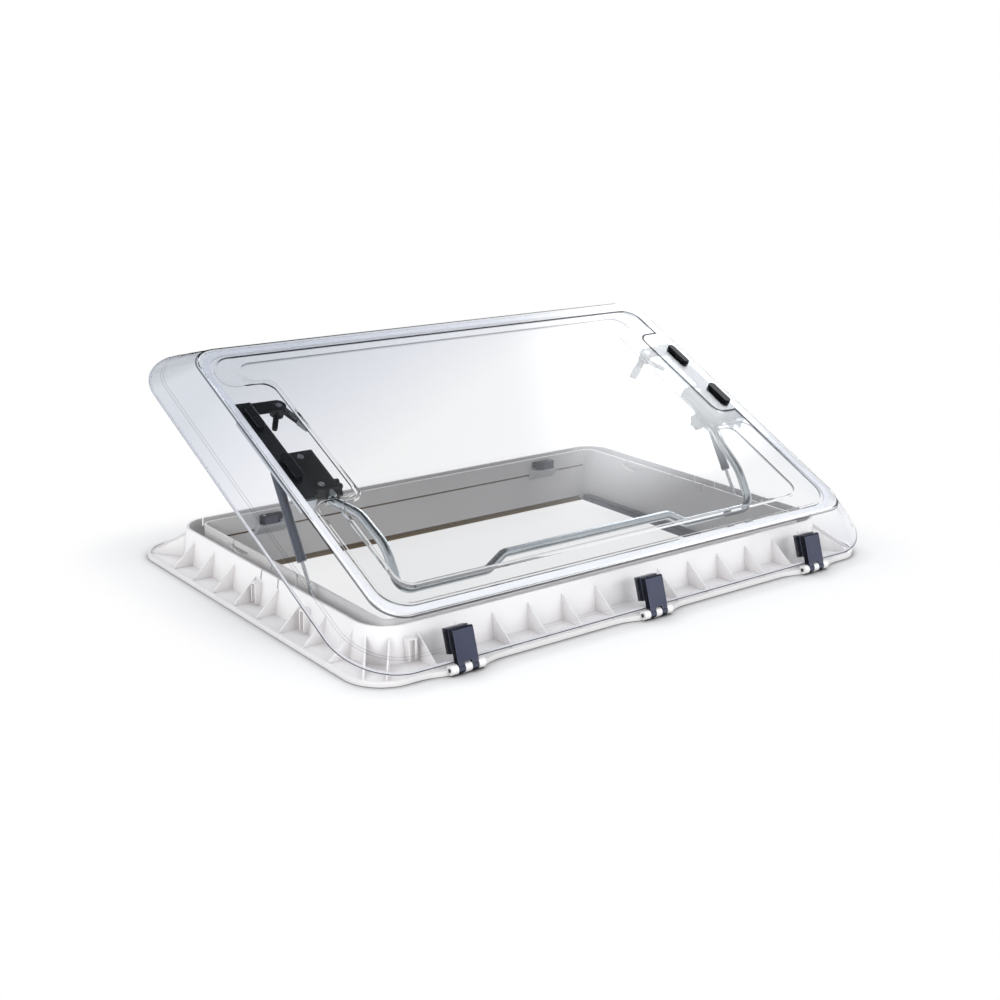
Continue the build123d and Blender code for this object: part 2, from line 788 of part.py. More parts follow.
# Turning rear catches: a rounded pivot end and a nose
for side in (-1, 1):
    with BuildPart() as rear_catch:
        with BuildSketch(Plane.XY.offset(catch_base_z)):
            with Locations((side * catch_pivot_x, catch_pivot_y)):
                Circle(catch_depth / 2)
            with BuildLine():
                Polyline(
                    (side * catch_pivot_x, catch_back - catch_depth),
                    (side * (catch_place - catch_length / 6), catch_back - catch_depth),
                    (side * (catch_place - catch_length / 2), catch_back - catch_depth / 2),
                    (side * (catch_place - catch_length / 2), catch_back),
                    (side * catch_pivot_x, catch_back),
                    close=True,
                )
            make_face()
        extrude(amount=catch_height)
        top_edges = rear_catch.faces().sort_by(Axis.Z)[-1].edges()
        fillet(top_edges, catch_edge_radius)
        with BuildSketch(Plane.XY.offset(catch_base_z)):
            with Locations((side * catch_pivot_x, catch_pivot_y)):
                Circle(catch_pin_radius + catch_fit)
        extrude(amount=catch_height, mode=Mode.SUBTRACT)
        # Thumb step at the nose
        with BuildSketch(Plane.XY.offset(catch_base_z)):
            with Locations((side * (catch_place - catch_length / 2), catch_back - catch_depth / 2)):
                Rectangle(catch_length / 3, 2 * catch_depth)
        extrude(amount=catch_height / 4, mode=Mode.SUBTRACT)
    keep(rear_catch.part, f"rear_catch_{side_name(side)}")

# Cassettes outside the short walls, with the folded blind and fly screen in them
cassette_half = liner_inner_y - cassette_end_inset
for side, cloth in ((1, "blind"), (-1, "screen")):
    with BuildPart() as cassette:
        with BuildSketch(Plane.XY.offset(guide_level - pull_bar_height / 2)):
            with Locations((side * (liner_half_x + cassette_depth / 2), 0)):
                Rectangle(cassette_depth, 2 * cassette_half)
        extrude(amount=cassette_top - guide_level + pull_bar_height / 2)
        with BuildSketch(Plane.XY.offset(guide_level - pull_bar_height / 2 + cassette_wall)):
            with Locations((side * (liner_half_x + (cassette_depth - cassette_wall) / 2), 0)):
                Rectangle(cassette_depth - cassette_wall, 2 * (cassette_half - cassette_wall))
        extrude(
            amount=cassette_top - guide_level + pull_bar_height / 2 - 2 * cassette_wall,
            mode=Mode.SUBTRACT,
        )
    keep(cassette.part, f"{cloth}_cassette")
    with BuildPart() as pleats:
        with BuildSketch(Plane.XY.offset(guide_level - pull_bar_height / 2 + cassette_wall)):
            with Locations(
                (side * (liner_half_x + cassette_depth - cassette_wall - pleat_depth / 2), 0)
            ):
                Rectangle(pleat_depth, 2 * (cassette_half - 2 * cassette_wall))
        extrude(amount=pleat_height)
    keep(pleats.part, f"{cloth}_pleats")
    # Pull bar with its grip and the shoes that run in the guide grooves
    bar_middle = liner_inner_x - pull_bar_gap - pull_bar_width / 2
    bar_half = liner_inner_y - liner_radius / 2
    with BuildPart() as pull_bar:
        with BuildSketch(Plane.XZ.offset(-bar_half)):
            with Locations((side * bar_middle, guide_level)):
                RectangleRounded(pull_bar_width, pull_bar_height, pull_bar_edge)
        extrude(amount=2 * bar_half)
        with BuildSketch(Plane.XY.offset(guide_level - pull_grip_height / 2)):
            with Locations((side * (bar_middle - pull_bar_width / 2), 0)):
                SlotOverall(pull_grip_length, 2 * pull_grip_depth, rotation=90)
        extrude(amount=pull_grip_height)
    keep(pull_bar.part, f"{cloth}_pull_bar")
    with BuildPart() as pull_shoes:
        shoe_reach = liner_inner_y + guide_groove_depth - pull_shoe_gap
        shoe_middle = bar_middle - pull_bar_width / 2 + pull_shoe_width / 2
        with BuildSketch(Plane.XY.offset(guide_level - guide_groove / 2 + pull_shoe_gap)):
            for end in (-1, 1):
                with Locations((side * shoe_middle, end * (bar_half + shoe_reach) / 2)):
                    Rectangle(pull_shoe_width, shoe_reach - bar_half)
        extrude(amount=guide_groove - 2 * pull_shoe_gap)
    keep(pull_shoes.part, f"{cloth}_pull_shoes")


# Dome panes
def dome_outline(w, inset):
    """Half length, front, rear and corner radius of the dome at height w, drawn in by inset."""
    share = (dome_top_height - w) / (dome_top_height - dome_rim_height)
    half = dome_top_half_length + share * (dome_half_length - dome_top_half_length)
    front = dome_top_front + share * (dome_rim_front - dome_top_front)
    rear = dome_top_rear + share * (dome_rim_rear - dome_top_rear)
    radius = dome_top_radius + share * (dome_rim_radius - dome_top_radius)
    return half - inset, front + inset, rear - inset, radius - inset


def pane_shape(half, front, rear, radius):
    """Rounded rectangle in dome coordinates, for the sketch in hand."""
    with Locations((0, (front + rear) / 2)):
        return RectangleRounded(2 * half, rear - front, radius)


skirt_run = dome_half_length - dome_top_half_length
skirt_rise = dome_top_height - dome_rim_height
skirt_inset = outer_pane_thickness * math.hypot(skirt_run, skirt_rise) / skirt_rise
cap_spots = [(side * cap_offset, place) for side in (-1, 1) for place in (cap_rear_place, cap_front_place)]
bracket_screw_marks = [
    (bracket_length / 2 - bracket_screw_spacing / 2),
    (bracket_length / 2 + bracket_screw_spacing / 2),
]


def skirt_plane(place, along):
    """Plane on the front skirt at u = place, its Z out of the dome."""
    v, w = skirt_point(along, 0)
    v_out, w_out = skirt_point(along, 1)
    return Plane(
        origin=on_dome(place, v, w),
        x_dir=(1, 0, 0),
        z_dir=on_dome(place, v_out, w_out) - on_dome(place, v, w),
    )


screw_planes = [skirt_plane(place, mark) for place in hinge_places for mark in bracket_screw_marks]

with BuildPart() as outer_pane:
    with BuildSketch(dome_level(dome_rim_height)):
        pane_shape(*dome_outline(dome_rim_height, 0))
    with BuildSketch(dome_level(dome_top_height)):
        pane_shape(*dome_outline(dome_top_height, 0))
    loft()
    top_face = outer_pane.faces().sort_by(Axis((0, 0, 0), dome_plane.z_dir))[-1]
    fillet(top_face.edges(), dome_edge_radius)
    with BuildSketch(dome_level(dome_rim_height)):
        pane_shape(*dome_outline(dome_rim_height, skirt_inset))
    with BuildSketch(dome_level(pane_under)):
        pane_shape(*dome_outline(pane_under, skirt_inset))
    loft(mode=Mode.SUBTRACT)
    # Holes for the rail studs and the bracket screws
    with BuildSketch(dome_level(pane_under)):
        with Locations(*cap_spots):
            Circle(cap_stud_radius)
    extrude(amount=outer_pane_thickness, mode=Mode.SUBTRACT)
    with BuildSketch(*screw_planes):
        Circle(bracket_screw_radius)
    extrude(amount=-2 * outer_pane_thickness, mode=Mode.SUBTRACT)
keep(outer_pane.part, "outer_pane")

bead_half = dome_top_half_length - bead_inset
bead_front = dome_top_front + bead_inset
bead_rear = dome_top_rear - bead_inset
tray_half = dome_top_half_length - tray_inset_side
tray_front = dome_top_front + tray_inset_front
tray_rear = dome_top_rear - tray_inset_rear
notch_half = dome_top_half_length - notch_reach


def notched_shape(half, front, rear, margin, shrink):
    """Pane outline with a notch each side for the hardware, in dome coordinates."""
    with Locations((0, (front + rear) / 2)):
        Rectangle(2 * (half - shrink), rear - front - 2 * shrink)
    notch_inner = notch_half - margin - shrink
    notch_low = notch_front - margin - shrink
    notch_high = notch_rear + margin + shrink
    for side in (-1, 1):
        with Locations((side * (notch_inner + half) / 2, (notch_low + notch_high) / 2)):
            Rectangle(half - notch_inner, notch_high - notch_low, mode=Mode.SUBTRACT)


def round_corners(outline, corner_radius, bay_radius):
    """Round the four outer corners, and those of the notches by their own radius."""
    rows = outline.vertices().group_by(Axis.Y)
    fillet(rows[1] + rows[-2], bay_radius)
    rows = outline.vertices().group_by(Axis.Y)
    fillet(rows[0] + rows[-1], corner_radius)


ledge_top = ledge_level + inner_pane_thickness
tray_top = tray_level + inner_pane_thickness
with BuildPart() as inner_pane:
    with BuildSketch(dome_level(bond_under)):
        pane_shape(*dome_outline(dome_top_height, bond_inset))
    extrude(amount=inner_pane_thickness)
    with BuildSketch(dome_level(ledge_level)) as bead_sketch:
        notched_shape(bead_half, bead_front, bead_rear, 0, 0)
        round_corners(bead_sketch, bead_corner_radius, bead_radius)
    extrude(amount=bond_under - ledge_level)
    with BuildSketch(dome_level(ledge_top)) as bead_hollow:
        notched_shape(bead_half, bead_front, bead_rear, 0, inner_pane_thickness)
        round_corners(
            bead_hollow,
            bead_corner_radius - inner_pane_thickness,
            bead_radius - inner_pane_thickness,
        )
    extrude(amount=bond_top - ledge_top, mode=Mode.SUBTRACT)
    with BuildSketch(dome_level(tray_level)) as tray_sketch:
        notched_shape(tray_half, tray_front, tray_rear, notch_margin, 0)
        round_corners(tray_sketch, tray_corner_radius, tray_radius)
    extrude(amount=ledge_level - tray_level)
    with BuildSketch(dome_level(tray_top)) as tray_hollow:
        notched_shape(tray_half, tray_front, tray_rear, notch_margin, inner_pane_thickness)
        round_corners(
            tray_hollow,
            tray_corner_radius - inner_pane_thickness,
            tray_radius - inner_pane_thickness,
        )
    extrude(amount=ledge_top - tray_top, mode=Mode.SUBTRACT)
    with BuildSketch(dome_level(bond_under)):
        with Locations(*cap_spots):
            Circle(cap_stud_radius)
    extrude(amount=inner_pane_thickness, mode=Mode.SUBTRACT)
keep(inner_pane.part, "inner_pane")


def side_rectangle(side, inner, outer, front, rear):
    """Rectangle between two u and two v values on one side, for the sketch in hand."""
    with Locations((side * (inner + outer) / 2, (front + rear) / 2)):
        Rectangle(outer - inner, rear - front)


# Seal that meets the collar rim when the dome is shut
with BuildPart() as dome_seal:
    with BuildSketch(dome_level(plate_top - seal_height)):
        with Locations((0, -hinge_y)):
            RectangleRounded(
                2 * (collar_half_x + seal_overhang),
                2 * (collar_half_y + seal_overhang),
                collar_rim_radius + seal_overhang,
            )
            RectangleRounded(
                2 * (collar_half_x + seal_overhang - seal_width),
                2 * (collar_half_y + seal_overhang - seal_width),
                collar_rim_radius + seal_overhang - seal_width,
                mode=Mode.SUBTRACT,
            )
    extrude(amount=seal_height)
keep(dome_seal.part, "dome_seal")


# Hinge brackets: arms outside the pane, backings inside it, screws through both
def side_polygon(points):
    """Closed outline from (v, w) points, for the sketch in hand."""
    Polygon(*points, align=None)


skirt_slope = math.hypot(dome_top_front - dome_rim_front, skirt_rise)
skirt_wall = skirt_inset * skirt_rise / skirt_slope
backing_back = skirt_wall + bracket_inner_depth

with BuildPart() as hinge_arms:
    with BuildSketch(*[dome_side(place) for place in hinge_places]):
        side_polygon(
            [
                skirt_point(-bracket_overhang, 0),
                skirt_point(bracket_length, 0),
                skirt_point(bracket_length, bracket_proud),
                skirt_point(-bracket_overhang, bracket_proud),
            ]
        )
    extrude(amount=bracket_width / 2, both=True)
    block_edges = hinge_arms.edges().filter_by(Axis.X)
    fillet(block_edges.sort_by(Axis.Z)[-len(hinge_places) :], bracket_edge_radius)
    leg_planes = [dome_side(place + shift) for place in hinge_places for shift in black_knuckle_places]
    with BuildSketch(*leg_planes):
        Circle(knuckle_radius)
        side_polygon(
            [
                (-knuckle_radius, 0),
                skirt_point(-bracket_overhang, bracket_proud),
                skirt_point(-bracket_overhang, 0),
                (knuckle_radius, 0),
            ]
        )
    extrude(amount=bracket_leg_width / 2, both=True)
    with BuildSketch(*[dome_side(place) for place in hinge_places]):
        Circle(hinge_pin_radius + hinge_fit)
    extrude(amount=hinge_pin_length / 2, both=True, mode=Mode.SUBTRACT)
    with BuildSketch(*screw_planes):
        Circle(bracket_screw_radius)
    extrude(amount=bracket_screw_bite, mode=Mode.SUBTRACT)
keep(hinge_arms.part, "hinge_arms")

with BuildPart() as hinge_backings:
    with BuildSketch(*[dome_side(place) for place in hinge_places]):
        side_polygon(
            [
                skirt_point(bracket_inner_start, -skirt_wall),
                skirt_point(bracket_inner_end, -skirt_wall),
                skirt_point(bracket_inner_end, -backing_back),
                skirt_point(bracket_inner_start, -backing_back),
            ]
        )
    extrude(amount=bracket_width / 2, both=True)
    with BuildSketch(*[plane.offset(-skirt_wall) for plane in screw_planes]):
        Circle(bracket_screw_radius)
    extrude(amount=-bracket_inner_depth, mode=Mode.SUBTRACT)
    with BuildSketch(*[plane.offset(-backing_back) for plane in screw_planes]):
        Circle(bracket_head_radius)
    extrude(amount=bracket_head_height, mode=Mode.SUBTRACT)
keep(hinge_backings.part, "hinge_backings")

with BuildPart() as hinge_screws:
    with BuildSketch(*[plane.offset(-backing_back) for plane in screw_planes]):
        Circle(bracket_head_radius)
    extrude(amount=bracket_head_height)
    with BuildSketch(*[plane.offset(-backing_back) for plane in screw_planes]):
        Circle(bracket_screw_radius)
    extrude(amount=backing_back + bracket_screw_bite)
keep(hinge_screws.part, "hinge_screws")

# Caps on the pane, their studs through panes, plate and rail
with BuildPart() as rail_caps:
    with BuildSketch(dome_level(dome_top_height)):
        with Locations(*cap_spots):
            SlotOverall(cap_length, cap_width, rotation=90)
    extrude(amount=cap_height)
    fillet(rail_caps.faces().filter_by(dome_plane).group_by(Axis.Z)[-1].edges(), cap_edge_radius)
keep(rail_caps.part, "rail_caps")

# Rails, plates, housings, levers, knobs and struts of each side
housing_screw_u = (housing_step + housing_outer) / 2
knob_face = lug_inner - knob_gap
lever_top = plate_under - lever_gap
lever_base = plate_under - lever_depth
lever_arm_length = math.hypot(lever_reach_u, lever_reach_v)
nose_turn = math.radians(lever_turn)
arm_top = lever_base + lever_arm_rise
arm_bend = lever_hub_radius + lever_arm_thickness / 2
grip_start = lever_arm_length - lever_grip_length
grip_top = arm_top - lever_drop * (grip_start - arm_bend) / (lever_arm_length - arm_bend)
ear_radius = lever_hub_radius + ear_margin
rail_web_under = plate_under - rail_wall
strut_high = on_dome(0, strut_high_v, strut_high_w)
strut_low = Vector(0, strut_low_y, strut_low_z)
strut_rest = (strut_low - strut_high).length
strut_way = (strut_low - strut_high).normalized()
strut_tube_end = strut_rest - strut_rod_exposed


def strut_level(side, reach):
    """Plane across a strut, reach down from its upper pivot."""
    centre = strut_high + strut_way * reach + Vector(side * strut_plane, 0, 0)
    return Plane(origin=centre, x_dir=(1, 0, 0), z_dir=strut_way)


for side in (-1, 1):
    name = side_name(side)

    lever_spot = (side * lever_pivot_u, lever_pivot_v)
    side_caps = [(side * cap_offset, place) for place in (cap_rear_place, cap_front_place)]
    housing_screws = [
        (side * housing_screw_u, housing_front + housing_screw_inset),
        (side * housing_screw_u, housing_rear - housing_screw_inset),
    ]

    with BuildPart() as rail_plate:
        with BuildSketch(dome_level(plate_under)):
            side_rectangle(side, plate_inner, rail_outer, plate_front, plate_rear)
            side_rectangle(side, housing_inner, plate_inner, housing_front, housing_rear)
            with Locations(lever_spot):
                Circle(ear_radius)
            ear_front = lever_pivot_v - ear_radius
            side_rectangle(side, lever_pivot_u, plate_inner, ear_front, ear_front + 2 * ear_radius)
        extrude(amount=plate_thickness)
        with BuildSketch(dome_level(plate_under)):
            with Locations(lever_spot, *side_caps):
                Circle(cap_stud_radius)
            with Locations(*housing_screws):
                Circle(housing_screw_radius)
        extrude(amount=plate_thickness, mode=Mode.SUBTRACT)
        with BuildSketch(dome_level(plate_top)):
            with Locations(lever_spot, *housing_screws):
                Circle(plate_head_radius)
        extrude(amount=-plate_head_height, mode=Mode.SUBTRACT)
    keep(rail_plate.part, f"rail_plate_{name}")

    with BuildPart() as side_rail:
        with BuildSketch(dome_level(plate_under)):
            side_rectangle(side, rail_inner, rail_outer, rail_front, rail_rear)
        extrude(amount=-rail_depth)
        with BuildSketch(dome_level(rail_web_under)):
            side_rectangle(side, rail_inner + rail_wall, rail_outer - rail_wall, rail_front, rail_rear)
        extrude(amount=-rail_depth, mode=Mode.SUBTRACT)
        with BuildSketch(dome_level(plate_under)):
            with Locations(*side_caps):
                Circle(cap_stud_radius)
        extrude(amount=-rail_wall, mode=Mode.SUBTRACT)
        with BuildSketch(dome_side(side * strut_plane)):
            with Locations((strut_high_v, strut_high_w)):
                Circle(strut_pin_radius)
        extrude(amount=rail_outer - rail_inner, both=True, mode=Mode.SUBTRACT)
    keep(side_rail.part, f"side_rail_{name}")

    # Studs with nuts under the rail web
    with BuildPart() as rail_studs:
        with BuildSketch(dome_level(rail_web_under - stud_nut_height)):
            with Locations(*side_caps):
                Circle(cap_stud_radius)
        extrude(amount=dome_top_height - rail_web_under + stud_nut_height)
        with BuildSketch(dome_level(rail_web_under - stud_nut_height)):
            with Locations(*side_caps):
                RegularPolygon(stud_nut_radius, nut_sides)
        extrude(amount=stud_nut_height)
    keep(rail_studs.part, f"rail_studs_{name}")

    # Housing of the bow pivot: a deep cheek outside the lug and a shallow shelf behind it
    with BuildPart() as pivot_housing:
        with BuildSketch(dome_side(side * housing_step)):
            side_polygon(
                [
                    (housing_front, plate_under),
                    (housing_rear, plate_under),
                    (housing_rear, plate_under - housing_depth_shallow),
                    (housing_mid, plate_under - housing_depth_deep),
                    (bow_pivot_v - bow_lug_radius, plate_under - housing_depth_deep),
                    (housing_front, plate_under - housing_depth_shallow),
                ]
            )
        extrude(amount=side * (housing_outer - housing_step))
        with BuildSketch(dome_level(plate_under)):
            side_rectangle(side, housing_inner, housing_step, housing_mid, housing_rear)
        extrude(amount=-housing_depth_shallow)
        # Ribs along the inner face of the shelf
        with BuildSketch(dome_level(plate_under - housing_depth_shallow)):
            for step in range(rib_count):
                place = housing_mid + rib_pitch * (step + 1)
                rib_edge = housing_inner + rib_pitch / 2
                side_rectangle(side, housing_inner, rib_edge, place, place + rib_pitch / 2)
        extrude(amount=housing_depth_shallow - rib_pitch, mode=Mode.SUBTRACT)
        with BuildSketch(dome_side(side * housing_step)):
            with Locations((bow_pivot_v, bow_pivot_w)):
                Circle(bow_bolt_radius)
        extrude(amount=side * bolt_bite, mode=Mode.SUBTRACT)
        with BuildSketch(dome_level(plate_under)):
            with Locations(*housing_screws):
                Circle(housing_screw_radius)
        extrude(amount=-housing_screw_bite, mode=Mode.SUBTRACT)
    keep(pivot_housing.part, f"pivot_housing_{name}")

    # Lever: hub, nose for the slot in the inner frame, teeth and cranked arm
    with BuildPart() as latch_lever:
        with BuildSketch(dome_level(lever_base)):
            with Locations(lever_spot):
                Circle(lever_hub_radius)
        extrude(amount=lever_top - lever_base)
        with BuildSketch(dome_level(lever_base)):
            for tooth in range(tooth_count):
                angle = math.radians(tooth_start + tooth_pitch * tooth)
                with Locations(
                    (
                        side * (lever_pivot_u + lever_hub_radius * math.cos(angle)),
                        lever_pivot_v + lever_hub_radius * math.sin(angle),
                    )
                ):
                    Circle(tooth_radius)
        extrude(amount=lever_nose_height)
        with BuildSketch(dome_level(lever_base)):
            nose_reach = lever_nose_length - lever_nose_width / 2
            with Locations(
                (
                    side * (lever_pivot_u + nose_reach / 2 * math.cos(nose_turn)),
                    lever_pivot_v - nose_reach / 2 * math.sin(nose_turn),
                )
            ):
                SlotCenterToCenter(nose_reach, lever_nose_width, rotation=-side * lever_turn)
        extrude(amount=lever_nose_height)
        # Cranked arm towards the middle of the pane, down to its grip
        arm_way = Vector(-side * lever_reach_u, -lever_reach_v).normalized()
        arm_plane = Plane(
            origin=on_dome(*lever_spot, 0),
            x_dir=on_dome(arm_way.X, arm_way.Y, 0) - on_dome(0, 0, 0),
            z_dir=on_dome(arm_way.Y, -arm_way.X, 0) - on_dome(0, 0, 0),
        )
        with BuildSketch(arm_plane):
            side_polygon(
                [
                    (0, arm_top - lever_arm_thickness),
                    (0, arm_top),
                    (arm_bend, arm_top),
                    (grip_start, grip_top),
                    (grip_start, grip_top - lever_arm_thickness),
                    (arm_bend - lever_arm_thickness / 4, arm_top - lever_arm_thickness),
                ]
            )
        extrude(amount=lever_arm_width / 2, both=True)
        with BuildSketch(dome_level(lever_base)):
            with Locations(lever_spot):
                Circle(lever_screw_radius + lever_fit)
        extrude(amount=lever_top - lever_base, mode=Mode.SUBTRACT)
    keep(latch_lever.part, f"latch_lever_{name}")

    with BuildPart() as lever_grip:
        with BuildSketch(arm_plane):
            side_polygon(
                [
                    (grip_start, grip_top + grip_extra),
                    (lever_arm_length, arm_top - lever_drop + grip_extra),
                    (lever_arm_length, arm_top - lever_drop - lever_arm_thickness),
                    (grip_start, grip_top - lever_arm_thickness - grip_extra),
                ]
            )
        extrude(amount=lever_arm_width / 2 + grip_extra, both=True)
        tip_edges = lever_grip.edges().group_by(Axis(arm_plane.origin, arm_plane.x_dir))[-1]
        fillet(tip_edges, grip_edge_radius)
    keep(lever_grip.part, f"lever_grip_{name}")

    with BuildPart() as star_knob:
        with BuildSketch(dome_side(side * knob_face)):
            with Locations((bow_pivot_v, bow_pivot_w)):
                Circle(knob_radius - knob_lobe_radius + 1)
                with PolarLocations(knob_radius - knob_lobe_radius, knob_lobes):
                    Circle(knob_lobe_radius)
        extrude(amount=-side * knob_thickness)
        knob_caps = star_knob.faces().filter_by(Axis.X)
        fillet(knob_caps.edges(), knob_edge_radius)
        with BuildSketch(dome_side(side * knob_face)):
            with Locations((bow_pivot_v, bow_pivot_w)):
                Circle(bow_bolt_radius + bow_bolt_fit)
        extrude(amount=-side * knob_bore_depth, mode=Mode.SUBTRACT)
    keep(star_knob.part, f"star_knob_{name}")

    # Gas strut: cylinder on the dome side, rod with piston and eye below it
    with BuildPart() as strut_cylinder:
        with BuildSketch(dome_side(side * strut_plane)):
            with Locations((strut_high_v, strut_high_w)):
                Circle(strut_eye_radius)
        extrude(amount=strut_eye_width / 2, both=True)
        with BuildSketch(strut_level(side, 0)):
            Circle(strut_neck_radius)
        extrude(amount=strut_eye_neck + strut_plug)
        with BuildSketch(strut_level(side, strut_eye_neck)):
            Circle(strut_tube_radius)
        extrude(amount=strut_tube_end - strut_eye_neck)
        with BuildSketch(strut_level(side, strut_tube_end - 2 * strut_ring_width)):
            Circle(strut_ring_radius)
        extrude(amount=strut_ring_width)
        with BuildSketch(strut_level(side, strut_eye_neck + strut_plug)):
            Circle(strut_piston_radius + strut_fit)
        extrude(amount=strut_tube_end - strut_guide - strut_eye_neck - strut_plug, mode=Mode.SUBTRACT)
        with BuildSketch(strut_level(side, strut_tube_end - strut_guide)):
            Circle(strut_rod_radius + strut_fit)
        extrude(amount=strut_guide, mode=Mode.SUBTRACT)
        with BuildSketch(dome_side(side * strut_plane)):
            with Locations((strut_high_v, strut_high_w)):
                Circle(strut_pin_radius + strut_fit)
        extrude(amount=strut_eye_width, both=True, mode=Mode.SUBTRACT)
    keep(strut_cylinder.part, f"strut_cylinder_{name}")

    with BuildPart() as strut_rod:
        with BuildSketch(strut_level(side, strut_tube_end - strut_rod_hidden)):
            Circle(strut_rod_radius)
        extrude(amount=strut_rod_hidden + strut_rod_exposed)
        with BuildSketch(strut_level(side, strut_tube_end - strut_rod_hidden)):
            Circle(strut_piston_radius)
        extrude(amount=strut_piston_length)
        with BuildSketch(strut_level(side, strut_rest - strut_eye_neck)):
            Circle(strut_neck_radius)
        extrude(amount=strut_eye_neck)
        with BuildSketch(Plane.YZ.offset(side * strut_plane)):
            with Locations((strut_low_y, strut_low_z)):
                Circle(strut_eye_radius)
        extrude(amount=strut_eye_width / 2, both=True)
        with BuildSketch(Plane.YZ.offset(side * strut_plane)):
            with Locations((strut_low_y, strut_low_z)):
                Circle(strut_pin_radius + strut_fit)
        extrude(amount=strut_eye_width, both=True, mode=Mode.SUBTRACT)
    keep(strut_rod.part, f"strut_rod_{name}")

# Pivot screws of the levers, their heads sunk in the plate and a nut below each hub
with BuildPart() as lever_bolts:
    lever_spots = [(side * lever_pivot_u, lever_pivot_v) for side in (-1, 1)]
    with BuildSketch(dome_level(plate_top)):
        with Locations(*lever_spots):
            Circle(plate_head_radius)
            Circle(socket_radius, mode=Mode.SUBTRACT)
    extrude(amount=-plate_head_height / 2)
    with BuildSketch(dome_level(plate_top - plate_head_height / 2)):
        with Locations(*lever_spots):
            Circle(plate_head_radius)
    extrude(amount=-plate_head_height / 2)
    with BuildSketch(dome_level(plate_top - plate_head_height)):
        with Locations(*lever_spots):
            Circle(lever_screw_radius)
    extrude(amount=-(plate_top - plate_head_height - lever_base + lever_gap))
    with BuildSketch(dome_level(lever_base - lever_gap)):
        with Locations(*lever_spots):
            RegularPolygon(stud_nut_radius, nut_sides)
    extrude(amount=-stud_nut_height)
keep(lever_bolts.part, "lever_bolts")

# Screws from the plates into the housings
with BuildPart() as housing_screws_set:
    spots = [
        (side * housing_screw_u, place)
        for side in (-1, 1)
        for place in (housing_front + housing_screw_inset, housing_rear - housing_screw_inset)
    ]
    with BuildSketch(dome_level(plate_top)):
        with Locations(*spots):
            Circle(plate_head_radius)
            Circle(socket_radius, mode=Mode.SUBTRACT)
    extrude(amount=-plate_head_height / 2)
    with BuildSketch(dome_level(plate_top - plate_head_height / 2)):
        with Locations(*spots):
            Circle(plate_head_radius)
    extrude(amount=-plate_head_height / 2)
    with BuildSketch(dome_level(plate_top - plate_head_height)):
        with Locations(*spots):
            Circle(housing_screw_radius)
    extrude(amount=-(plate_thickness - plate_head_height + housing_screw_bite))
keep(housing_screws_set.part, "housing_screws")

# Bolts that carry bow and knobs, fixed in the housings
with BuildPart() as bow_bolts:
    for side in (-1, 1):
        with BuildSketch(dome_side(side * (housing_step + bolt_bite))):
            with Locations((bow_pivot_v, bow_pivot_w)):
                Circle(bow_bolt_radius)
        extrude(amount=-side * (housing_step + bolt_bite - knob_face + knob_bore_depth - knob_gap))
keep(bow_bolts.part, "bow_bolts")

# Pins of the upper strut eyes, with shoulders that centre each eye in its rail
with BuildPart() as strut_top_pins:
    for side in (-1, 1):
        with BuildSketch(dome_side(side * rail_inner)):
            with Locations((strut_high_v, strut_high_w)):
                Circle(strut_pin_radius)
        extrude(amount=side * (rail_outer - rail_inner))
        shoulder = (rail_outer - rail_inner - strut_eye_width) / 2 - rail_wall - strut_bracket_gap
        for start in (rail_inner + rail_wall, rail_outer - rail_wall - shoulder):
            with BuildSketch(dome_side(side * start)):
                with Locations((strut_high_v, strut_high_w)):
                    Circle(strut_pin_radius + strut_bracket_gap + rail_wall)
            extrude(amount=side * shoulder)
keep(strut_top_pins.part, "strut_top_pins")

# Brackets in the gap beside the lower strut eyes, each with a stud towards its eye
with BuildPart() as strut_brackets:
    for side in (-1, 1):
        plate_start = liner_half_x + strut_bracket_inset
        with BuildSketch(Plane.YZ.offset(side * plate_start)):
            with Locations((strut_low_y, strut_low_z)):
                Circle(strut_bracket_width / 2)
                with Locations((0, -(strut_low_z - spigot_floor) / 2)):
                    Rectangle(strut_bracket_width, strut_low_z - spigot_floor)
            with Locations((strut_low_y, spigot_floor - strut_bracket_width / 2)):
                Rectangle(2 * strut_bracket_width, strut_bracket_width, mode=Mode.SUBTRACT)
        extrude(amount=side * strut_bracket_thickness)
        stud_length = strut_plane - strut_eye_width / 2 - strut_bracket_gap - plate_start
        with BuildSketch(Plane.YZ.offset(side * plate_start)):
            with Locations((strut_low_y, strut_low_z)):
                Circle(strut_pin_radius)
        extrude(amount=side * stud_length)
keep(strut_brackets.part, "strut_brackets")

# Bow: one bent tube between two lugs, its points counted inwards from the lug and back from the pivot
bends = [bow_start, bow_shoulder, bow_elbow, bow_arm, bow_corner, bow_step_low, bow_step_high]
left_points = [(inwards - lug_middle, bow_pivot_v - back, w) for inwards, back, w in bends]
right_points = [(-u, v, w) for u, v, w in left_points[::-1]]
path_points = [on_dome(*point) for point in left_points + right_points]
path_radii = list(bow_bend_radii) + list(bow_bend_radii)[::-1]


def bent_path(points, radii):
    """Straight runs joined by arcs, for the line in hand."""
    here = points[0]
    for before, corner, after, radius in zip(points, points[1:], points[2:], radii):
        way_in = (corner - before).normalized()
        way_out = (after - corner).normalized()
        turn = math.acos(way_in.dot(way_out))
        tangent = radius * math.tan(turn / 2)
        arc_start = corner - way_in * tangent
        arc_end = corner + way_out * tangent
        inward = (way_out - way_in).normalized()
        arc_middle = corner + inward * (radius / math.cos(turn / 2) - radius)
        Line(here, arc_start)
        ThreePointArc(arc_start, arc_middle, arc_end)
        here = arc_end
    Line(here, points[-1])


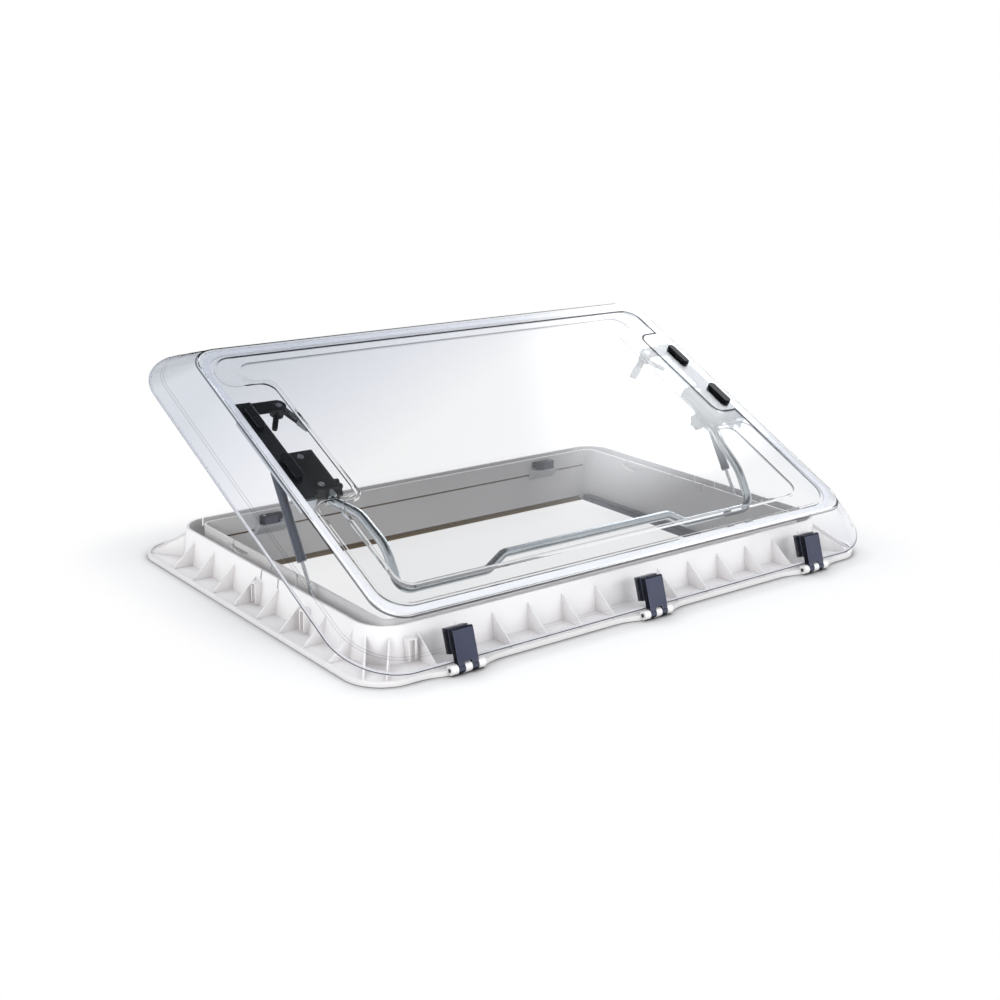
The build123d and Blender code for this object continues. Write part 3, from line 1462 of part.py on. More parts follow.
with BuildPart() as bow_tube:
    with BuildLine() as bow_path:
        bent_path(path_points, path_radii)
    start_plane = Plane(origin=path_points[0], z_dir=path_points[1] - path_points[0])
    with BuildSketch(start_plane):
        Circle(bow_tube_radius)
        Circle(bow_tube_radius - bow_tube_wall, mode=Mode.SUBTRACT)
    sweep(path=bow_path.wire())
keep(bow_tube.part, "bow_tube")

# Lugs with a sleeve for each tube end
with BuildPart() as bow_lugs:
    for side, first, second in ((-1, path_points[0], path_points[1]), (1, path_points[-1], path_points[-2])):
        with BuildSketch(dome_side(side * lug_inner)):
            with Locations((bow_pivot_v, bow_pivot_w)):
                Circle(bow_lug_radius)
        extrude(amount=side * bow_lug_width)
        with BuildSketch(dome_side(side * lug_inner)):
            with Locations((bow_pivot_v - bow_start[1] - lug_sleeve / 2, bow_start[2])):
                Rectangle(lug_sleeve, 2 * bow_tube_radius + 2 * lug_sleeve_wall)
        extrude(amount=side * bow_lug_width)
        with BuildSketch(Plane(origin=first, z_dir=second - first)):
            Circle(bow_tube_radius)
        extrude(amount=2 * lug_sleeve, mode=Mode.SUBTRACT)
        with BuildSketch(dome_side(side * lug_inner)):
            with Locations((bow_pivot_v, bow_pivot_w)):
                Circle(bow_bolt_radius + bow_bolt_fit)
        extrude(amount=side * bow_lug_width, mode=Mode.SUBTRACT)
keep(bow_lugs.part, "bow_lugs")
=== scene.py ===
"""Looks of the roof window: materials, studio and camera."""

import bpy
import json
import math
from mathutils import Matrix, Vector
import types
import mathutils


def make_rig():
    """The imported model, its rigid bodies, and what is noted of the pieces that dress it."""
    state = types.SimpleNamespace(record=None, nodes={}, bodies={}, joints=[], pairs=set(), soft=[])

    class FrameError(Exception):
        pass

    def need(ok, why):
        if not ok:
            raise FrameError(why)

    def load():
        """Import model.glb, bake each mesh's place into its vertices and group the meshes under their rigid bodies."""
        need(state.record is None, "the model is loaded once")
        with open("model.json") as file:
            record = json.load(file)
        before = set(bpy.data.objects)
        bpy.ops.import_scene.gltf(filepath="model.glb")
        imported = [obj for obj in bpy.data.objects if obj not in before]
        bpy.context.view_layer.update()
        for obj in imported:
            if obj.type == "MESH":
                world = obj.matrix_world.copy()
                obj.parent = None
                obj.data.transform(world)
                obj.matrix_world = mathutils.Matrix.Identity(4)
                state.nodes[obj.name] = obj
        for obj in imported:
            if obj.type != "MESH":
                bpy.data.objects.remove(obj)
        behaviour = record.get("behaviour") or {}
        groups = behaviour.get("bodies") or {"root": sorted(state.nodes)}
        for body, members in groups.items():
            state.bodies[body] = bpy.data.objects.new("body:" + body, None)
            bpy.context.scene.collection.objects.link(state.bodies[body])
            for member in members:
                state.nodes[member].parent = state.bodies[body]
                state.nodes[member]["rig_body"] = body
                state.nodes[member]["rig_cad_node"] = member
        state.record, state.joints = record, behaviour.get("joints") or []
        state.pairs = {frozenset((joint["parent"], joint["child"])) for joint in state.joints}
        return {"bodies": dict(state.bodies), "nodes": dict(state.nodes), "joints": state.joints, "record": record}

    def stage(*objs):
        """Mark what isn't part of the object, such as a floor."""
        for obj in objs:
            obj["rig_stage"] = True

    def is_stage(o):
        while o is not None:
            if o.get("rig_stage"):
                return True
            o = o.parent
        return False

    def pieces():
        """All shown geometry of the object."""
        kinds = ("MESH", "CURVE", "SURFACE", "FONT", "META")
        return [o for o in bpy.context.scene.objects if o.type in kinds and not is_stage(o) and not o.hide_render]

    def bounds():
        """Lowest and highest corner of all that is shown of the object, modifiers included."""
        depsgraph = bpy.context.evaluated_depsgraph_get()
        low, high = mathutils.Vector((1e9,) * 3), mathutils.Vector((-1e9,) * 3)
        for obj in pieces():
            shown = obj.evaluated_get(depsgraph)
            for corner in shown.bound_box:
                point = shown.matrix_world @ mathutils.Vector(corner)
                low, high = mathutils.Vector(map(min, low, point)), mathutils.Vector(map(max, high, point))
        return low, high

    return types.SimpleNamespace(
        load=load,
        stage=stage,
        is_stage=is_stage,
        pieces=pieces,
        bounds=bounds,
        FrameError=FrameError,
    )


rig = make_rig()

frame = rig.load()
nodes = frame["nodes"]
scene = bpy.context.scene


def save_bounds(key):
    low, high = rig.bounds()
    sizes = {}
    if key != "before":
        with open("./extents.json") as f:
            sizes = json.load(f)
    sizes[key] = [list(low), list(high)]
    with open("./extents.json", "w") as f:
        json.dump(sizes, f, indent=1)


save_bounds("before")


# The dome as it stands in the frame, in metres: its hinge line, slope and the axes of its pane
hinge_line = (0.0, -0.3889, 0.0081)
dome_slope = math.radians(26.1)
dome_up = (0.0, -math.sin(dome_slope), math.cos(dome_slope))
dome_back = (0.0, math.cos(dome_slope), math.sin(dome_slope))

# Rounded outlines on the dome: half length, front and rear edge from the hinge line, corner radius
rim_outline = (0.551, 0.008, 0.779, 0.098)
bead_outline = (0.462, 0.076, 0.68, 0.03)
bay_outline = (0.073, 0.352, 0.6, 0.022)
bay_middle = 0.49
# Half width of the painted shade line over the end of the bead
bead_line_half_width = 0.0019
# The sawn rim has painted dark shade from here out to its outline
rim_dark_from = (-0.0022, -0.0018)

# Bands on the dome, from low to high, as heights over the hinge line
sawn_edge = (0.0052, 0.0057)
fold_line = (0.0192, 0.0202)
tray_wall = (0.0478, 0.053)
bead_wall = (0.0532, 0.0568)
shoulder_line = (0.0597, 0.0613)
crest_line = (0.0619, 0.0626)
pane_face = (0.0624, 0.0632)

# Where the inner frame's grooves lie: away from the middle, and the lower and the upper groove
groove_floor = (0.2861, 0.2863)
groove_end = (0.2894, 0.2896)
lower_groove_top = (-0.036, -0.0355)
upper_groove_foot = (0.026, 0.0262)
upper_groove_top = (0.0298, 0.03)

# Soft edges of the opening that the dome shades: its ends, front and rear
opening_ends = (0.44, 0.455)
opening_front = (-0.325, -0.31)
opening_rear = (0.185, 0.2)

# The hinges' broad front face looks this way and gets a painted bluer sheen
hinge_front = (0, -0.985, 0.17)
# Colour of the painted shade lines on both sheets of the dome
painted_line_shade_color = (0.03, 0.035, 0.05)
plastic_index = 1.5
outer_sheet_index = 1.49
# The inner sheet bends and mirrors less, so that the two sheets don't double the studio
inner_sheet_index = 1.1


class Graph:
    """A node tree with short ways to add nodes; values are sockets or plain values."""

    def __init__(self, tree, coordinates):
        self.tree = tree
        self.where = self.add("ShaderNodeTexCoord").outputs[coordinates]

    def add(self, kind, **settings):
        node = self.tree.nodes.new(kind)
        for key, value in settings.items():
            setattr(node, key, value)
        return node

    def feed(self, value, socket):
        """Links a socket, or sets a plain value; a colour gets its alpha."""
        if isinstance(value, bpy.types.NodeSocket):
            self.tree.links.new(value, socket)
        elif socket.type == "RGBA":
            socket.default_value = (*value, 1)
        else:
            socket.default_value = value

    def math(self, operation, *values, clamp=False):
        node = self.add("ShaderNodeMath", operation=operation, use_clamp=clamp)
        for socket, value in zip(node.inputs, values):
            self.feed(value, socket)
        return node.outputs["Value"]

    def product(self, first, *others):
        for other in others:
            first = self.math("MULTIPLY", first, other)
        return first

    def largest(self, first, *others):
        for other in others:
            first = self.math("MAXIMUM", first, other)
        return first

    def vector(self, operation, *values):
        node = self.add("ShaderNodeVectorMath", operation=operation)
        for socket, value in zip(node.inputs, values):
            self.feed(value, socket)
        return node.outputs["Vector"]

    def along(self, vector, direction):
        """Part of a vector along a direction."""
        node = self.add("ShaderNodeVectorMath", operation="DOT_PRODUCT")
        self.feed(vector, node.inputs[0])
        self.feed(direction, node.inputs[1])
        return node.outputs["Value"]

    def noise(self, scale, detail=3.0, stretch=(1, 1, 1), rough=0.5):
        """Noise over the coordinates, stretched along each axis."""
        mapping = self.add("ShaderNodeMapping")
        self.feed(stretch, mapping.inputs["Scale"])
        self.feed(self.where, mapping.inputs["Vector"])
        texture = self.add("ShaderNodeTexNoise")
        self.feed(scale, texture.inputs["Scale"])
        self.feed(detail, texture.inputs["Detail"])
        self.feed(rough, texture.inputs["Roughness"])
        self.feed(mapping.outputs["Vector"], texture.inputs["Vector"])
        return texture.outputs["Fac"]

    def ramp(self, factor, stops):
        """Colour ramp through (position, colour) stops."""
        node = self.add("ShaderNodeValToRGB")
        ramp = node.color_ramp
        while len(ramp.elements) < len(stops):
            ramp.elements.new(0.5)
        for element, (position, color) in zip(ramp.elements, stops):
            element.position = position
            element.color = (*color, 1)
        self.feed(factor, node.inputs["Fac"])
        return node.outputs["Color"]

    def spread(self, value, low, high, start=0.0, end=1.0, smooth=False):
        """Maps start to end onto low to high, and holds those beyond."""
        node = self.add("ShaderNodeMapRange")
        if smooth:
            node.interpolation_type = "SMOOTHSTEP"
        self.feed(value, node.inputs["Value"])
        self.feed(start, node.inputs["From Min"])
        self.feed(end, node.inputs["From Max"])
        self.feed(low, node.inputs["To Min"])
        self.feed(high, node.inputs["To Max"])
        return node.outputs["Result"]

    def rise(self, value, start, end):
        return self.spread(value, 0.0, 1.0, start, end)

    def fall(self, value, start, end):
        return self.spread(value, 1.0, 0.0, start, end)

    def band(self, value, low, high, soft):
        """One between low and high, zero outside, with soft ends."""
        return self.product(self.rise(value, low - soft, low), self.fall(value, high, high + soft))

    def outline(self, x, y, half, front, rear, radius):
        """Signed distance to a rounded rectangle that is centred on x = 0, negative inside."""
        across = self.math("SUBTRACT", self.math("ABSOLUTE", x), half - radius)
        centred = self.math("SUBTRACT", y, (front + rear) / 2)
        along = self.math("SUBTRACT", self.math("ABSOLUTE", centred), (rear - front) / 2 - radius)
        inside = self.math("MINIMUM", self.math("MAXIMUM", across, along), 0.0)
        across = self.math("MAXIMUM", across, 0.0)
        along = self.math("MAXIMUM", along, 0.0)
        squares = self.math("ADD", self.product(across, across), self.product(along, along))
        return self.math("SUBTRACT", self.math("ADD", self.math("SQRT", squares), inside), radius)

    def mixed_color(self, factor, first, second):
        node = self.add("ShaderNodeMix", data_type="RGBA")
        self.feed(factor, node.inputs["Factor"])
        self.feed(first, node.inputs["A"])
        self.feed(second, node.inputs["B"])
        return node.outputs["Result"]

    def mixed_shader(self, factor, first, second):
        node = self.add("ShaderNodeMixShader")
        for socket, value in zip(node.inputs, (factor, first, second)):
            self.feed(value, socket)
        return node.outputs["Shader"]

    def colored(self, kind, color, output="BSDF"):
        """A shader node that only needs its colour."""
        node = self.add(kind)
        self.feed(color, node.inputs["Color"])
        return node.outputs[output]


class Shader(Graph):
    """A material with a Principled shader."""

    def __init__(self, name):
        self.material = bpy.data.materials.new(name)
        self.material.use_nodes = True
        super().__init__(self.material.node_tree, "Object")
        self.bsdf = self.tree.nodes["Principled BSDF"]

    def set(self, **values):
        for key, value in values.items():
            self.feed(value, self.bsdf.inputs[key.replace("_", " ")])

    def facing(self, direction):
        """How far the surface faces a direction."""
        return self.along(self.add("ShaderNodeTexCoord").outputs["Normal"], direction)

    def rounded(self, edge):
        """Normal over edges rounded by the given radius."""
        bevel = self.add("ShaderNodeBevel", samples=6)
        self.feed(edge, bevel.inputs["Radius"])
        return bevel.outputs["Normal"]

    def bump(self, height, strength, distance, edge=0.0):
        node = self.add("ShaderNodeBump")
        self.feed(strength, node.inputs["Strength"])
        self.feed(distance, node.inputs["Distance"])
        self.feed(height, node.inputs["Height"])
        if edge:
            self.feed(self.rounded(edge), node.inputs["Normal"])
        self.set(Normal=node.outputs["Normal"])


# Plastics and metals
# Painted shade in the corners of the white plastic: its reach and its colour
painted_corner_shade_reach = 0.035
painted_corner_shade_color = (0.7, 0.675, 0.67)
pile_color = (0.16, 0.11, 0.05)


def painted_corner_shade(shader, color):
    """Painted shade: corners between ribs and walls are darkened in tone by ambient occlusion."""
    corner = shader.add("ShaderNodeAmbientOcclusion", samples=6)
    shader.feed(painted_corner_shade_reach, corner.inputs["Distance"])
    open_air = shader.rise(corner.outputs["AO"], 0.35, 0.88)
    return shader.mixed_color(open_air, painted_corner_shade_color, color)


def lined_grooves(shader, color):
    """The grooves of the long walls are lined with brown pile."""
    away = shader.along(shader.vector("ABSOLUTE", shader.where), (0, 1, 0))
    deep = shader.product(shader.rise(away, *groove_floor), shader.fall(away, *groove_end))
    height = shader.along(shader.where, (0, 0, 1))
    lower = shader.fall(height, *lower_groove_top)
    upper = shader.product(
        shader.rise(height, *upper_groove_foot),
        shader.fall(height, *upper_groove_top),
    )
    groove = shader.product(deep, shader.largest(lower, upper))
    return shader.mixed_color(groove, color, pile_color)


def moulded(name, dark, light, rough, grain=900.0, edge=0.0008, depth=0.00003, shine=0.5, paint=None):
    """Moulded material: fine grain, faint flow marks, gloss that varies, and paint over the colour, such as painted
    corner shade.
    """
    shader = Shader(name)
    color = shader.ramp(shader.noise(7.0, 4.0, (1, 1, 3)), [(0.25, dark), (0.75, light)])
    if paint:
        color = paint(shader, color)
    blotch = shader.noise(38.0, 2.0)
    shader.set(
        Base_Color=color,
        Roughness=shader.spread(blotch, rough - 0.05, rough + 0.07),
        IOR=plastic_index,
        Specular_IOR_Level=shine,
    )
    shader.bump(shader.noise(grain, 2.0), 0.5, depth, edge)
    return shader.material


def metal(name, dark, light, rough, stretch, scale=220.0, edge=0.0005, metallic=1.0):
    """Metal with grain drawn out along one axis."""
    shader = Shader(name)
    grain = shader.noise(scale, 4.0, stretch, 0.65)
    shader.set(
        Base_Color=shader.ramp(grain, [(0.3, dark), (0.7, light)]),
        Roughness=shader.spread(grain, rough - 0.08, rough + 0.08),
        Metallic=metallic,
        IOR=plastic_index,
    )
    shader.bump(grain, 0.35, 0.00004, edge)
    return shader.material


def hinge_look(name):
    """Blue-black plastic with painted light: black flanks, a painted bluer sheen on the broad front face and painted
    highlights on the rounded edges.
    """
    shader = Shader(name)
    # Painted sheen: the broad front face is painted bluer and given more specular
    front = shader.rise(shader.facing(hinge_front), 0.85, 0.95)
    flow = shader.noise(9.0, 3.0)
    black = shader.ramp(flow, [(0.3, (0.006, 0.007, 0.011)), (0.7, (0.012, 0.013, 0.02))])
    blue = shader.ramp(flow, [(0.3, (0.045, 0.05, 0.082)), (0.7, (0.062, 0.068, 0.105))])
    # Painted highlight: where the rounded edge turns away from the flat face, the plastic is painted light
    flat = shader.add("ShaderNodeNewGeometry").outputs["True Normal"]
    painted_edge_light = shader.spread(shader.along(shader.rounded(0.0009), flat), 0.8, 0.0, 0.8, 0.95)
    shader.set(
        Base_Color=shader.mixed_color(painted_edge_light, shader.mixed_color(front, black, blue), (0.3, 0.32, 0.4)),
        Roughness=shader.spread(shader.noise(40.0), 0.14, 0.22),
        Specular_IOR_Level=shader.spread(front, 0.04, 0.35),
        IOR=plastic_index,
    )
    shader.bump(shader.noise(900.0, 2.0), 0.3, 0.00001, 0.0012)
    return shader.material


# Acrylic sheets
def clear_sheet(name, index):
    """Clear acrylic with very slight draw waves and haze."""
    shader = Shader(name)
    shader.set(
        Transmission_Weight=1.0,
        IOR=index,
        Roughness=shader.spread(shader.noise(16.0, 3.0), 0.0, 0.01),
    )
    shader.bump(shader.noise(5.0, 1.0, (1, 1, 1), 0.3), 0.25, 0.00004)
    return shader


def dome_place(shader):
    """Place on the dome: along the hinge line, back from it and height over it."""
    place = shader.vector("SUBTRACT", shader.where, hinge_line)
    return shader.along(place, (1, 0, 0)), shader.along(place, dome_back), shader.along(place, dome_up)


def lit_sheet(shader, surface, shade):
    """Lets light pass straight through the surface, dimmed by shade over the opening."""
    away = shader.along(shader.vector("ABSOLUTE", shader.where), (1, 0, 0))
    back = shader.along(shader.where, (0, 1, 0))
    across_opening = shader.product(
        shader.rise(back, *opening_front),
        shader.fall(back, *opening_rear),
    )
    covered = shader.product(shader.fall(away, *opening_ends), across_opening)
    clear_way = shader.colored(
        "ShaderNodeBsdfTransparent",
        shader.ramp(covered, [(0.0, (0.985, 0.985, 0.99)), (1.0, shade)]),
    )
    rays = shader.add("ShaderNodeLightPath")
    loose = shader.largest(rays.outputs["Is Shadow Ray"], rays.outputs["Is Diffuse Ray"])
    whole = shader.mixed_shader(loose, surface, clear_way)
    shader.feed(whole, shader.tree.nodes["Material Output"].inputs["Surface"])
    return shader.material


def dome_painted_reflection(shader, length, back):
    """Painted blue reflection: soft blue towards the upper left corner, and at the far right end."""
    slant = shader.math("ADD", shader.product(length, -0.5), back)
    left = shader.rise(slant, 0.53, 0.86)
    right = shader.product(shader.rise(length, 0.4, 0.56), 0.5)
    drift = shader.product(shader.noise(2.2, 2.0), 0.08)
    blue = shader.math("ADD", shader.largest(left, right), drift)
    return shader.ramp(blue, [
        (0.05, (0.99, 0.99, 0.995)),
        (0.45, (0.865, 0.88, 0.93)),
        (1.0, (0.71, 0.74, 0.80)),
    ])


def dome_painted_shade_lines(shader, length, back, height):
    """Painted shade lines: along the shoulder, on the crest of the far side and along the fold at the left."""
    shoulder = shader.product(
        shader.band(height, *shoulder_line, 0.0002),
        shader.spread(length, 0.95, 0.8, -0.3, 0.4),
    )
    far_side = shader.largest(shader.rise(length, 0.52, 0.53), shader.rise(back, 0.75, 0.76))
    crest = shader.product(shader.band(height, *crest_line, 0.0001), 0.5, far_side)
    left_end = shader.spread(length, 0.3, 0.0, -0.5, -0.3)
    fold = shader.product(shader.band(height, *fold_line, 0.0004), left_end)
    return shader.largest(shoulder, fold, crest)


def sawn_color(shader, length, back):
    """Frosted grey of the sawn rim, with painted shade: dark towards its outer side and at the front."""
    # Painted shade on the rim's outer part: dark at the front, lighter towards the rear
    painted_edge_light = shader.ramp(back, [
        (0.0, (0.07, 0.07, 0.075)),
        (0.12, (0.1, 0.1, 0.11)),
        (0.45, (0.5, 0.51, 0.54)),
    ])
    outer = shader.rise(shader.outline(length, back, *rim_outline), *rim_dark_from)
    return shader.mixed_color(outer, (0.62, 0.62, 0.64), painted_edge_light)


def painted_bead_shade_line(shader, length, back, height):
    """Painted dark shade line where the bead of the inner sheet ends: along the rear, and at the right round its bay.
    """
    in_bay = shader.outline(shader.math("SUBTRACT", length, bay_middle), back, *bay_outline)
    distance = shader.largest(shader.outline(length, back, *bead_outline), shader.product(in_bay, -1.0))
    line = shader.band(distance, -bead_line_half_width, bead_line_half_width, 0.0005)
    stretch = shader.largest(shader.rise(length, 0.3, 0.36), shader.rise(back, 0.64, 0.67))
    left_fade = shader.spread(length, 0.0, 0.85, -0.46, -0.42)
    front_fade = shader.rise(back, 0.12, 0.3)
    face = shader.band(height, *pane_face, 0.0002)
    return shader.product(line, face, stretch, left_fade, front_fade)


def outer_acrylic(name, shade):
    """The dome's outer sheet: a painted blue reflection, painted shade lines, a sawn rim with painted shade and a
    painted dark shade line over the bead.
    """
    shader = clear_sheet(name, outer_sheet_index)
    length, back, height = dome_place(shader)
    # Painted shade lines and a painted blue reflection are laid over the sheet's colour
    painted_shade_lines = dome_painted_shade_lines(shader, length, back, height)
    shader.set(Base_Color=shader.mixed_color(painted_shade_lines, dome_painted_reflection(shader, length, back), painted_line_shade_color))
    sawn = shader.colored("ShaderNodeBsdfDiffuse", sawn_color(shader, length, back))
    surface = shader.mixed_shader(shader.fall(height, *sawn_edge), shader.bsdf.outputs["BSDF"], sawn)
    # Painted shade: a dark line over the end of the inner sheet's bead
    dark = shader.colored("ShaderNodeBsdfDiffuse", (0.008, 0.009, 0.013))
    surface = shader.mixed_shader(painted_bead_shade_line(shader, length, back, height), surface, dark)
    return lit_sheet(shader, surface, shade)


def inner_acrylic(name, shade):
    """The dome's inner sheet: painted shade on the walls of bead and tray, strongest at the rear and at the right."""
    shader = clear_sheet(name, inner_sheet_index)
    length, back, height = dome_place(shader)
    wall = shader.band(shader.facing(dome_up), -0.3, 0.3, 0.05)
    side = shader.largest(shader.spread(length, 0.3, 1.0, 0.3, 0.4), shader.rise(back, 0.62, 0.68))
    bead = shader.band(height, *bead_wall, 0.0001)
    tray = shader.product(shader.band(height, *tray_wall, 0.0001), 0.25)
    painted_shade_lines = shader.product(wall, side, shader.largest(bead, tray))
    shader.set(Base_Color=shader.mixed_color(painted_shade_lines, (0.985, 0.988, 0.992), painted_line_shade_color))
    return lit_sheet(shader, shader.bsdf.outputs["BSDF"], shade)


# A look for each material slot, and for nodes that differ from their slot
even = (1, 1, 1)
looks = {
    # White plastic with painted shade in its corners
    "white_plastic": moulded(
        "white_plastic_look", (0.85, 0.84, 0.835), (0.9, 0.89, 0.885), 0.42, paint=painted_corner_shade
    ),
    "grey_plastic": moulded("grey_plastic_look", (0.50, 0.51, 0.52), (0.58, 0.59, 0.6), 0.42),
    "black_plastic": moulded(
        "black_plastic_look", (0.006, 0.007, 0.009), (0.013, 0.014, 0.017), 0.22, shine=0.3
    ),
    "blue_black_plastic": hinge_look("blue_black_plastic_look"),
    "grey_seal": moulded(
        "grey_seal_look", (0.86, 0.865, 0.87), (0.92, 0.925, 0.93), 0.5,
        grain=1500.0, edge=0.0006, depth=0.00006,
    ),
    "brown_pile": moulded(
        "brown_pile_look", (0.16, 0.11, 0.04), (0.3, 0.21, 0.09), 0.9,
        grain=2400.0, edge=0.0, depth=0.0003,
    ),
    "aluminium": metal("aluminium_look", (0.42, 0.45, 0.5), (0.62, 0.66, 0.7), 0.3, (1, 0.04, 0.04)),
    "zinc_steel": metal("zinc_steel_look", (0.5, 0.51, 0.53), (0.7, 0.71, 0.73), 0.28, even),
    "grey_tube": metal(
        "grey_tube_look", (0.5, 0.54, 0.565), (0.57, 0.61, 0.635), 0.16, even, scale=30.0, edge=0.0
    ),
    "dark_steel": metal(
        "dark_steel_look", (0.03, 0.037, 0.058), (0.05, 0.062, 0.09), 0.22, even, scale=60.0, metallic=0.2
    ),
    "pleated_cloth": moulded(
        "pleated_cloth_look", (0.6, 0.6, 0.58), (0.7, 0.7, 0.68), 0.85,
        grain=1800.0, edge=0.0, depth=0.0003,
    ),
    "clear_acrylic": outer_acrylic("clear_acrylic_look", (0.985, 0.985, 0.99)),
}
named_looks = {
    "inner_frame": moulded(
        "inner_frame_look", (0.8, 0.78, 0.765), (0.85, 0.83, 0.815), 0.42, paint=lined_grooves
    ),
    "inner_pane": inner_acrylic("tray_acrylic_look", (0.45, 0.45, 0.452)),
    "rail_caps": moulded("cap_look", (0.006, 0.007, 0.009), (0.012, 0.013, 0.015), 0.26, shine=0.12),
    "hinge_pins": metal(
        "pin_look", (0.03, 0.035, 0.045), (0.06, 0.065, 0.08), 0.4, (0.1, 1, 1), metallic=0.6
    ),
}

slots = {entry["node"]: entry["material_slot"] for entry in frame["record"]["subparts"]}
for name, node in nodes.items():
    look = named_looks.get(name) or looks[slots[name]]
    for index in range(max(1, len(node.material_slots))):
        if len(node.material_slots) <= index:
            node.data.materials.append(look)
        else:
            node.material_slots[index].material = look


# Studio: a roof plane with the cut-out, a pale ground below it, soft lamps
footprint = (0.48, 0.33)
cut_out = (0.478, 0.3255)
roof_reach = 30.0
ground_reach = 1.2
roof_height = -0.0006
ground_height = -0.062
painted_ground_shadow_reach = 0.045


def ground_look(name, tone, fade, lift):
    """Pale diffuse ground that turns to plain white away from the object, seen from above only.

    Looked at, it is lifted towards white by the given share.
    """
    material = bpy.data.materials.new(name)
    material.use_nodes = True
    material.node_tree.nodes.clear()
    graph = Graph(material.node_tree, "Object")
    # The third size keeps the height out of the distance
    outside = graph.vector("SUBTRACT", graph.vector("ABSOLUTE", graph.where), (*footprint, 1.0))
    beyond = graph.vector("MAXIMUM", outside, (0.0, 0.0, 0.0))
    distance = graph.math("SQRT", graph.along(beyond, beyond))
    away = graph.spread(distance, 0.0, 1.0, *fade, smooth=True)
    looked_at = graph.math("SUBTRACT", 1.0, graph.add("ShaderNodeLightPath").outputs["Is Diffuse Ray"])
    lifted = graph.math("MULTIPLY_ADD", looked_at, lift, away, clamp=True)
    # Painted shadow: under the edge of the object the ground's colour is darkened a little more
    corner = graph.add("ShaderNodeAmbientOcclusion", samples=8)
    graph.feed(painted_ground_shadow_reach, corner.inputs["Distance"])
    stops = [(0.0, tuple(0.99 * part for part in tone)), (1.0, tone)]
    graph.feed(graph.ramp(graph.noise(3.0, 2.0), stops), corner.inputs["Color"])
    diffuse = graph.colored("ShaderNodeBsdfDiffuse", corner.outputs["Color"])
    white = graph.colored("ShaderNodeEmission", (1, 1, 1), "Emission")
    upper = graph.mixed_shader(lifted, diffuse, white)
    behind = graph.add("ShaderNodeBsdfTransparent").outputs["BSDF"]
    geometry = graph.add("ShaderNodeNewGeometry")
    whole = graph.mixed_shader(geometry.outputs["Backfacing"], upper, behind)
    graph.feed(whole, graph.add("ShaderNodeOutputMaterial").inputs["Surface"])
    return material


def corners(x, y):
    """Corners of a rectangle of half sizes x and y."""
    return [(-x, -y), (x, -y), (x, y), (-x, y)]


def plane_with_hole(name, reach, hole, z, material):
    """Square floor at height z, with an optional rectangular hole of half sizes (x, y)."""
    verts = corners(reach, reach)
    faces = [(0, 1, 2, 3)]
    if hole:
        verts += corners(*hole)
        faces = [(i, (i + 1) % 4, 4 + (i + 1) % 4, 4 + i) for i in range(4)]
    mesh = bpy.data.meshes.new(name)
    mesh.from_pydata([(x, y, z) for x, y in verts], [], faces)
    mesh.materials.append(material)
    thing = bpy.data.objects.new(name, mesh)
    scene.collection.objects.link(thing)
    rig.stage(thing)


ground = ground_look("ground_look", (0.93, 0.92, 0.91), (0.06, 0.21), 0.0)
below = ground_look("below_look", (0.5, 0.5, 0.5), (0.4, 1.2), 0.84)
plane_with_hole("roof_plane", roof_reach, cut_out, roof_height, ground)
plane_with_hole("ground_plane", ground_reach, None, ground_height, below)


def lamp(name, place, aim, size, power, color=(1, 1, 1)):
    """Soft rectangular lamp that neither mirrors nor panes show."""
    data = bpy.data.lights.new(name, "AREA")
    data.shape = "RECTANGLE"
    data.size, data.size_y = size
    data.energy = power
    data.color = color
    thing = bpy.data.objects.new(name, data)
    scene.collection.objects.link(thing)
    thing.location = place
    thing.rotation_mode = "QUATERNION"
    thing.rotation_quaternion = (Vector(place) - Vector(aim)).to_track_quat("Z", "Y")
    thing.visible_glossy = False
    thing.visible_transmission = False


lamp("top_soft", (0.4, 0.9, 3.0), (0, 0, 0), (3.0, 2.4), 26.0)
lamp("front_soft", (0.3, -3.2, 1.3), (0, -0.2, 0.05), (2.4, 0.9), 44.0)
lamp("left_soft", (-2.9, -0.8, 1.1), (0, 0, 0.1), (1.6, 0.9), 28.0, (0.99, 0.99, 1.0))

# Room around the object, by the ray's direction
world = bpy.data.worlds.new("studio")
scene.world = world
world.use_nodes = True
world.node_tree.nodes.clear()
room = Graph(world.node_tree, "Generated")


def towards(direction, start, end, low=0.0, high=1.0):
    """Smooth step of the ray's part along a direction."""
    return room.spread(room.along(room.where, direction), low, high, start, end, smooth=True)


def background(color, strength):
    node = room.add("ShaderNodeBackground")
    room.feed(color, node.inputs["Color"])
    room.feed(strength, node.inputs["Strength"])
    return node.outputs["Background"]


rightwards = (1, 0, 0)
backwards = (0, 1, 0)
upwards = (0, 0, 1)
sky = room.ramp(room.along(room.where, upwards), [(0.0, (0.86, 0.86, 0.86)), (0.75, (0.7, 0.73, 0.78))])
ambient = background(sky, 0.86)

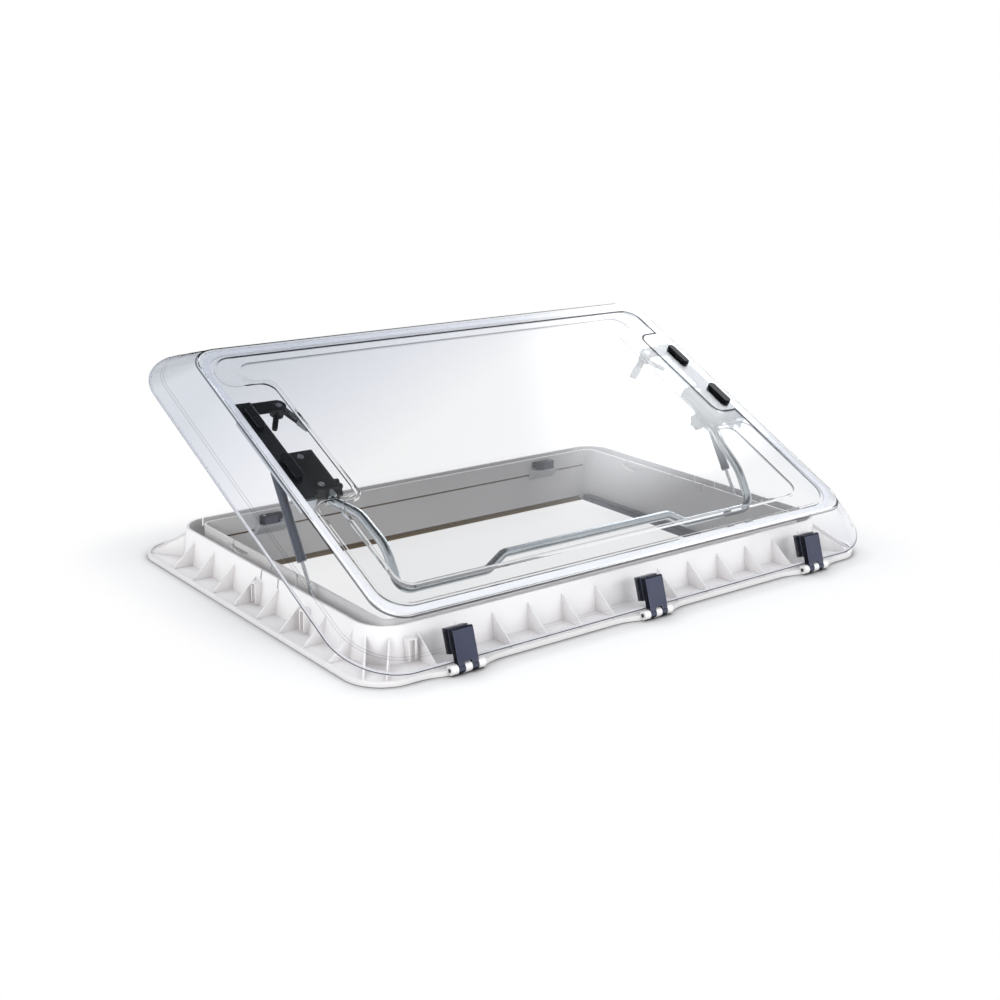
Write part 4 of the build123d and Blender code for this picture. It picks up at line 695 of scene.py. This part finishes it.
# Dark room with one soft box at the far right, one at the left and one behind the camera
far_box = room.product(towards(rightwards, 0.6, 0.69, high=3.2), towards(backwards, 0.19, 0.24))
left_box = room.product(towards(rightwards, -0.3, -0.5, high=0.6), towards(upwards, 0.25, 0.4))
near_box = room.product(towards(backwards, -0.6, -0.8, high=0.8), towards(upwards, 0.1, 0.25))
glow = towards(rightwards, 0.42, 0.66, 0.02, 0.7)
boxes = room.math("ADD", room.math("ADD", far_box, left_box), room.math("ADD", near_box, glow))
mirrored = background((0.94, 0.97, 1.0), boxes)
white = background((1, 1, 1), 1.0)

# White where the camera looks, also through a pane; what leaves a pane upwards meets the dark room
rays = room.add("ShaderNodeLightPath")
transmitted = rays.outputs["Is Transmission Ray"]
reflected = room.largest(rays.outputs["Is Glossy Ray"], transmitted)
looked_through = room.product(transmitted, towards(upwards, 0.3, 0.5, 1.0, 0.0))
straight = room.largest(rays.outputs["Is Camera Ray"], looked_through)
around = room.mixed_shader(reflected, ambient, mirrored)
whole_room = room.mixed_shader(straight, around, white)
room.feed(whole_room, room.add("ShaderNodeOutputWorld").inputs["Surface"])

# Camera of the photograph, fitted to the outlines of frame and dome
camera_place = (-1.5304, -1.9462, 0.8361)
camera_turn = math.radians(-37.94)
camera_lift = math.radians(16.64)
camera_roll = math.radians(0.907)
focal_share = 1.4698
picture_size = 1000
away_from_object = Vector((
    math.sin(camera_turn) * math.cos(camera_lift),
    -math.cos(camera_turn) * math.cos(camera_lift),
    math.sin(camera_lift),
))
level = Vector((math.cos(camera_turn), math.sin(camera_turn), 0))
upright = away_from_object.cross(level)
camera_x = level * math.cos(camera_roll) + upright * math.sin(camera_roll)
camera_y = upright * math.cos(camera_roll) - level * math.sin(camera_roll)
camera_data = bpy.data.cameras.new("photo_camera")
camera_data.sensor_width = 36.0
camera_data.lens = camera_data.sensor_width * focal_share
camera_data.clip_end = 100.0
camera = bpy.data.objects.new("photo_camera", camera_data)
scene.collection.objects.link(camera)
axes = Matrix((camera_x, camera_y, away_from_object)).transposed()
camera.matrix_world = Matrix.Translation(camera_place) @ axes.to_4x4()
scene.camera = camera

scene.view_settings.view_transform = "Standard"
scene.render.resolution_x = picture_size
scene.render.resolution_y = picture_size

save_bounds("after")
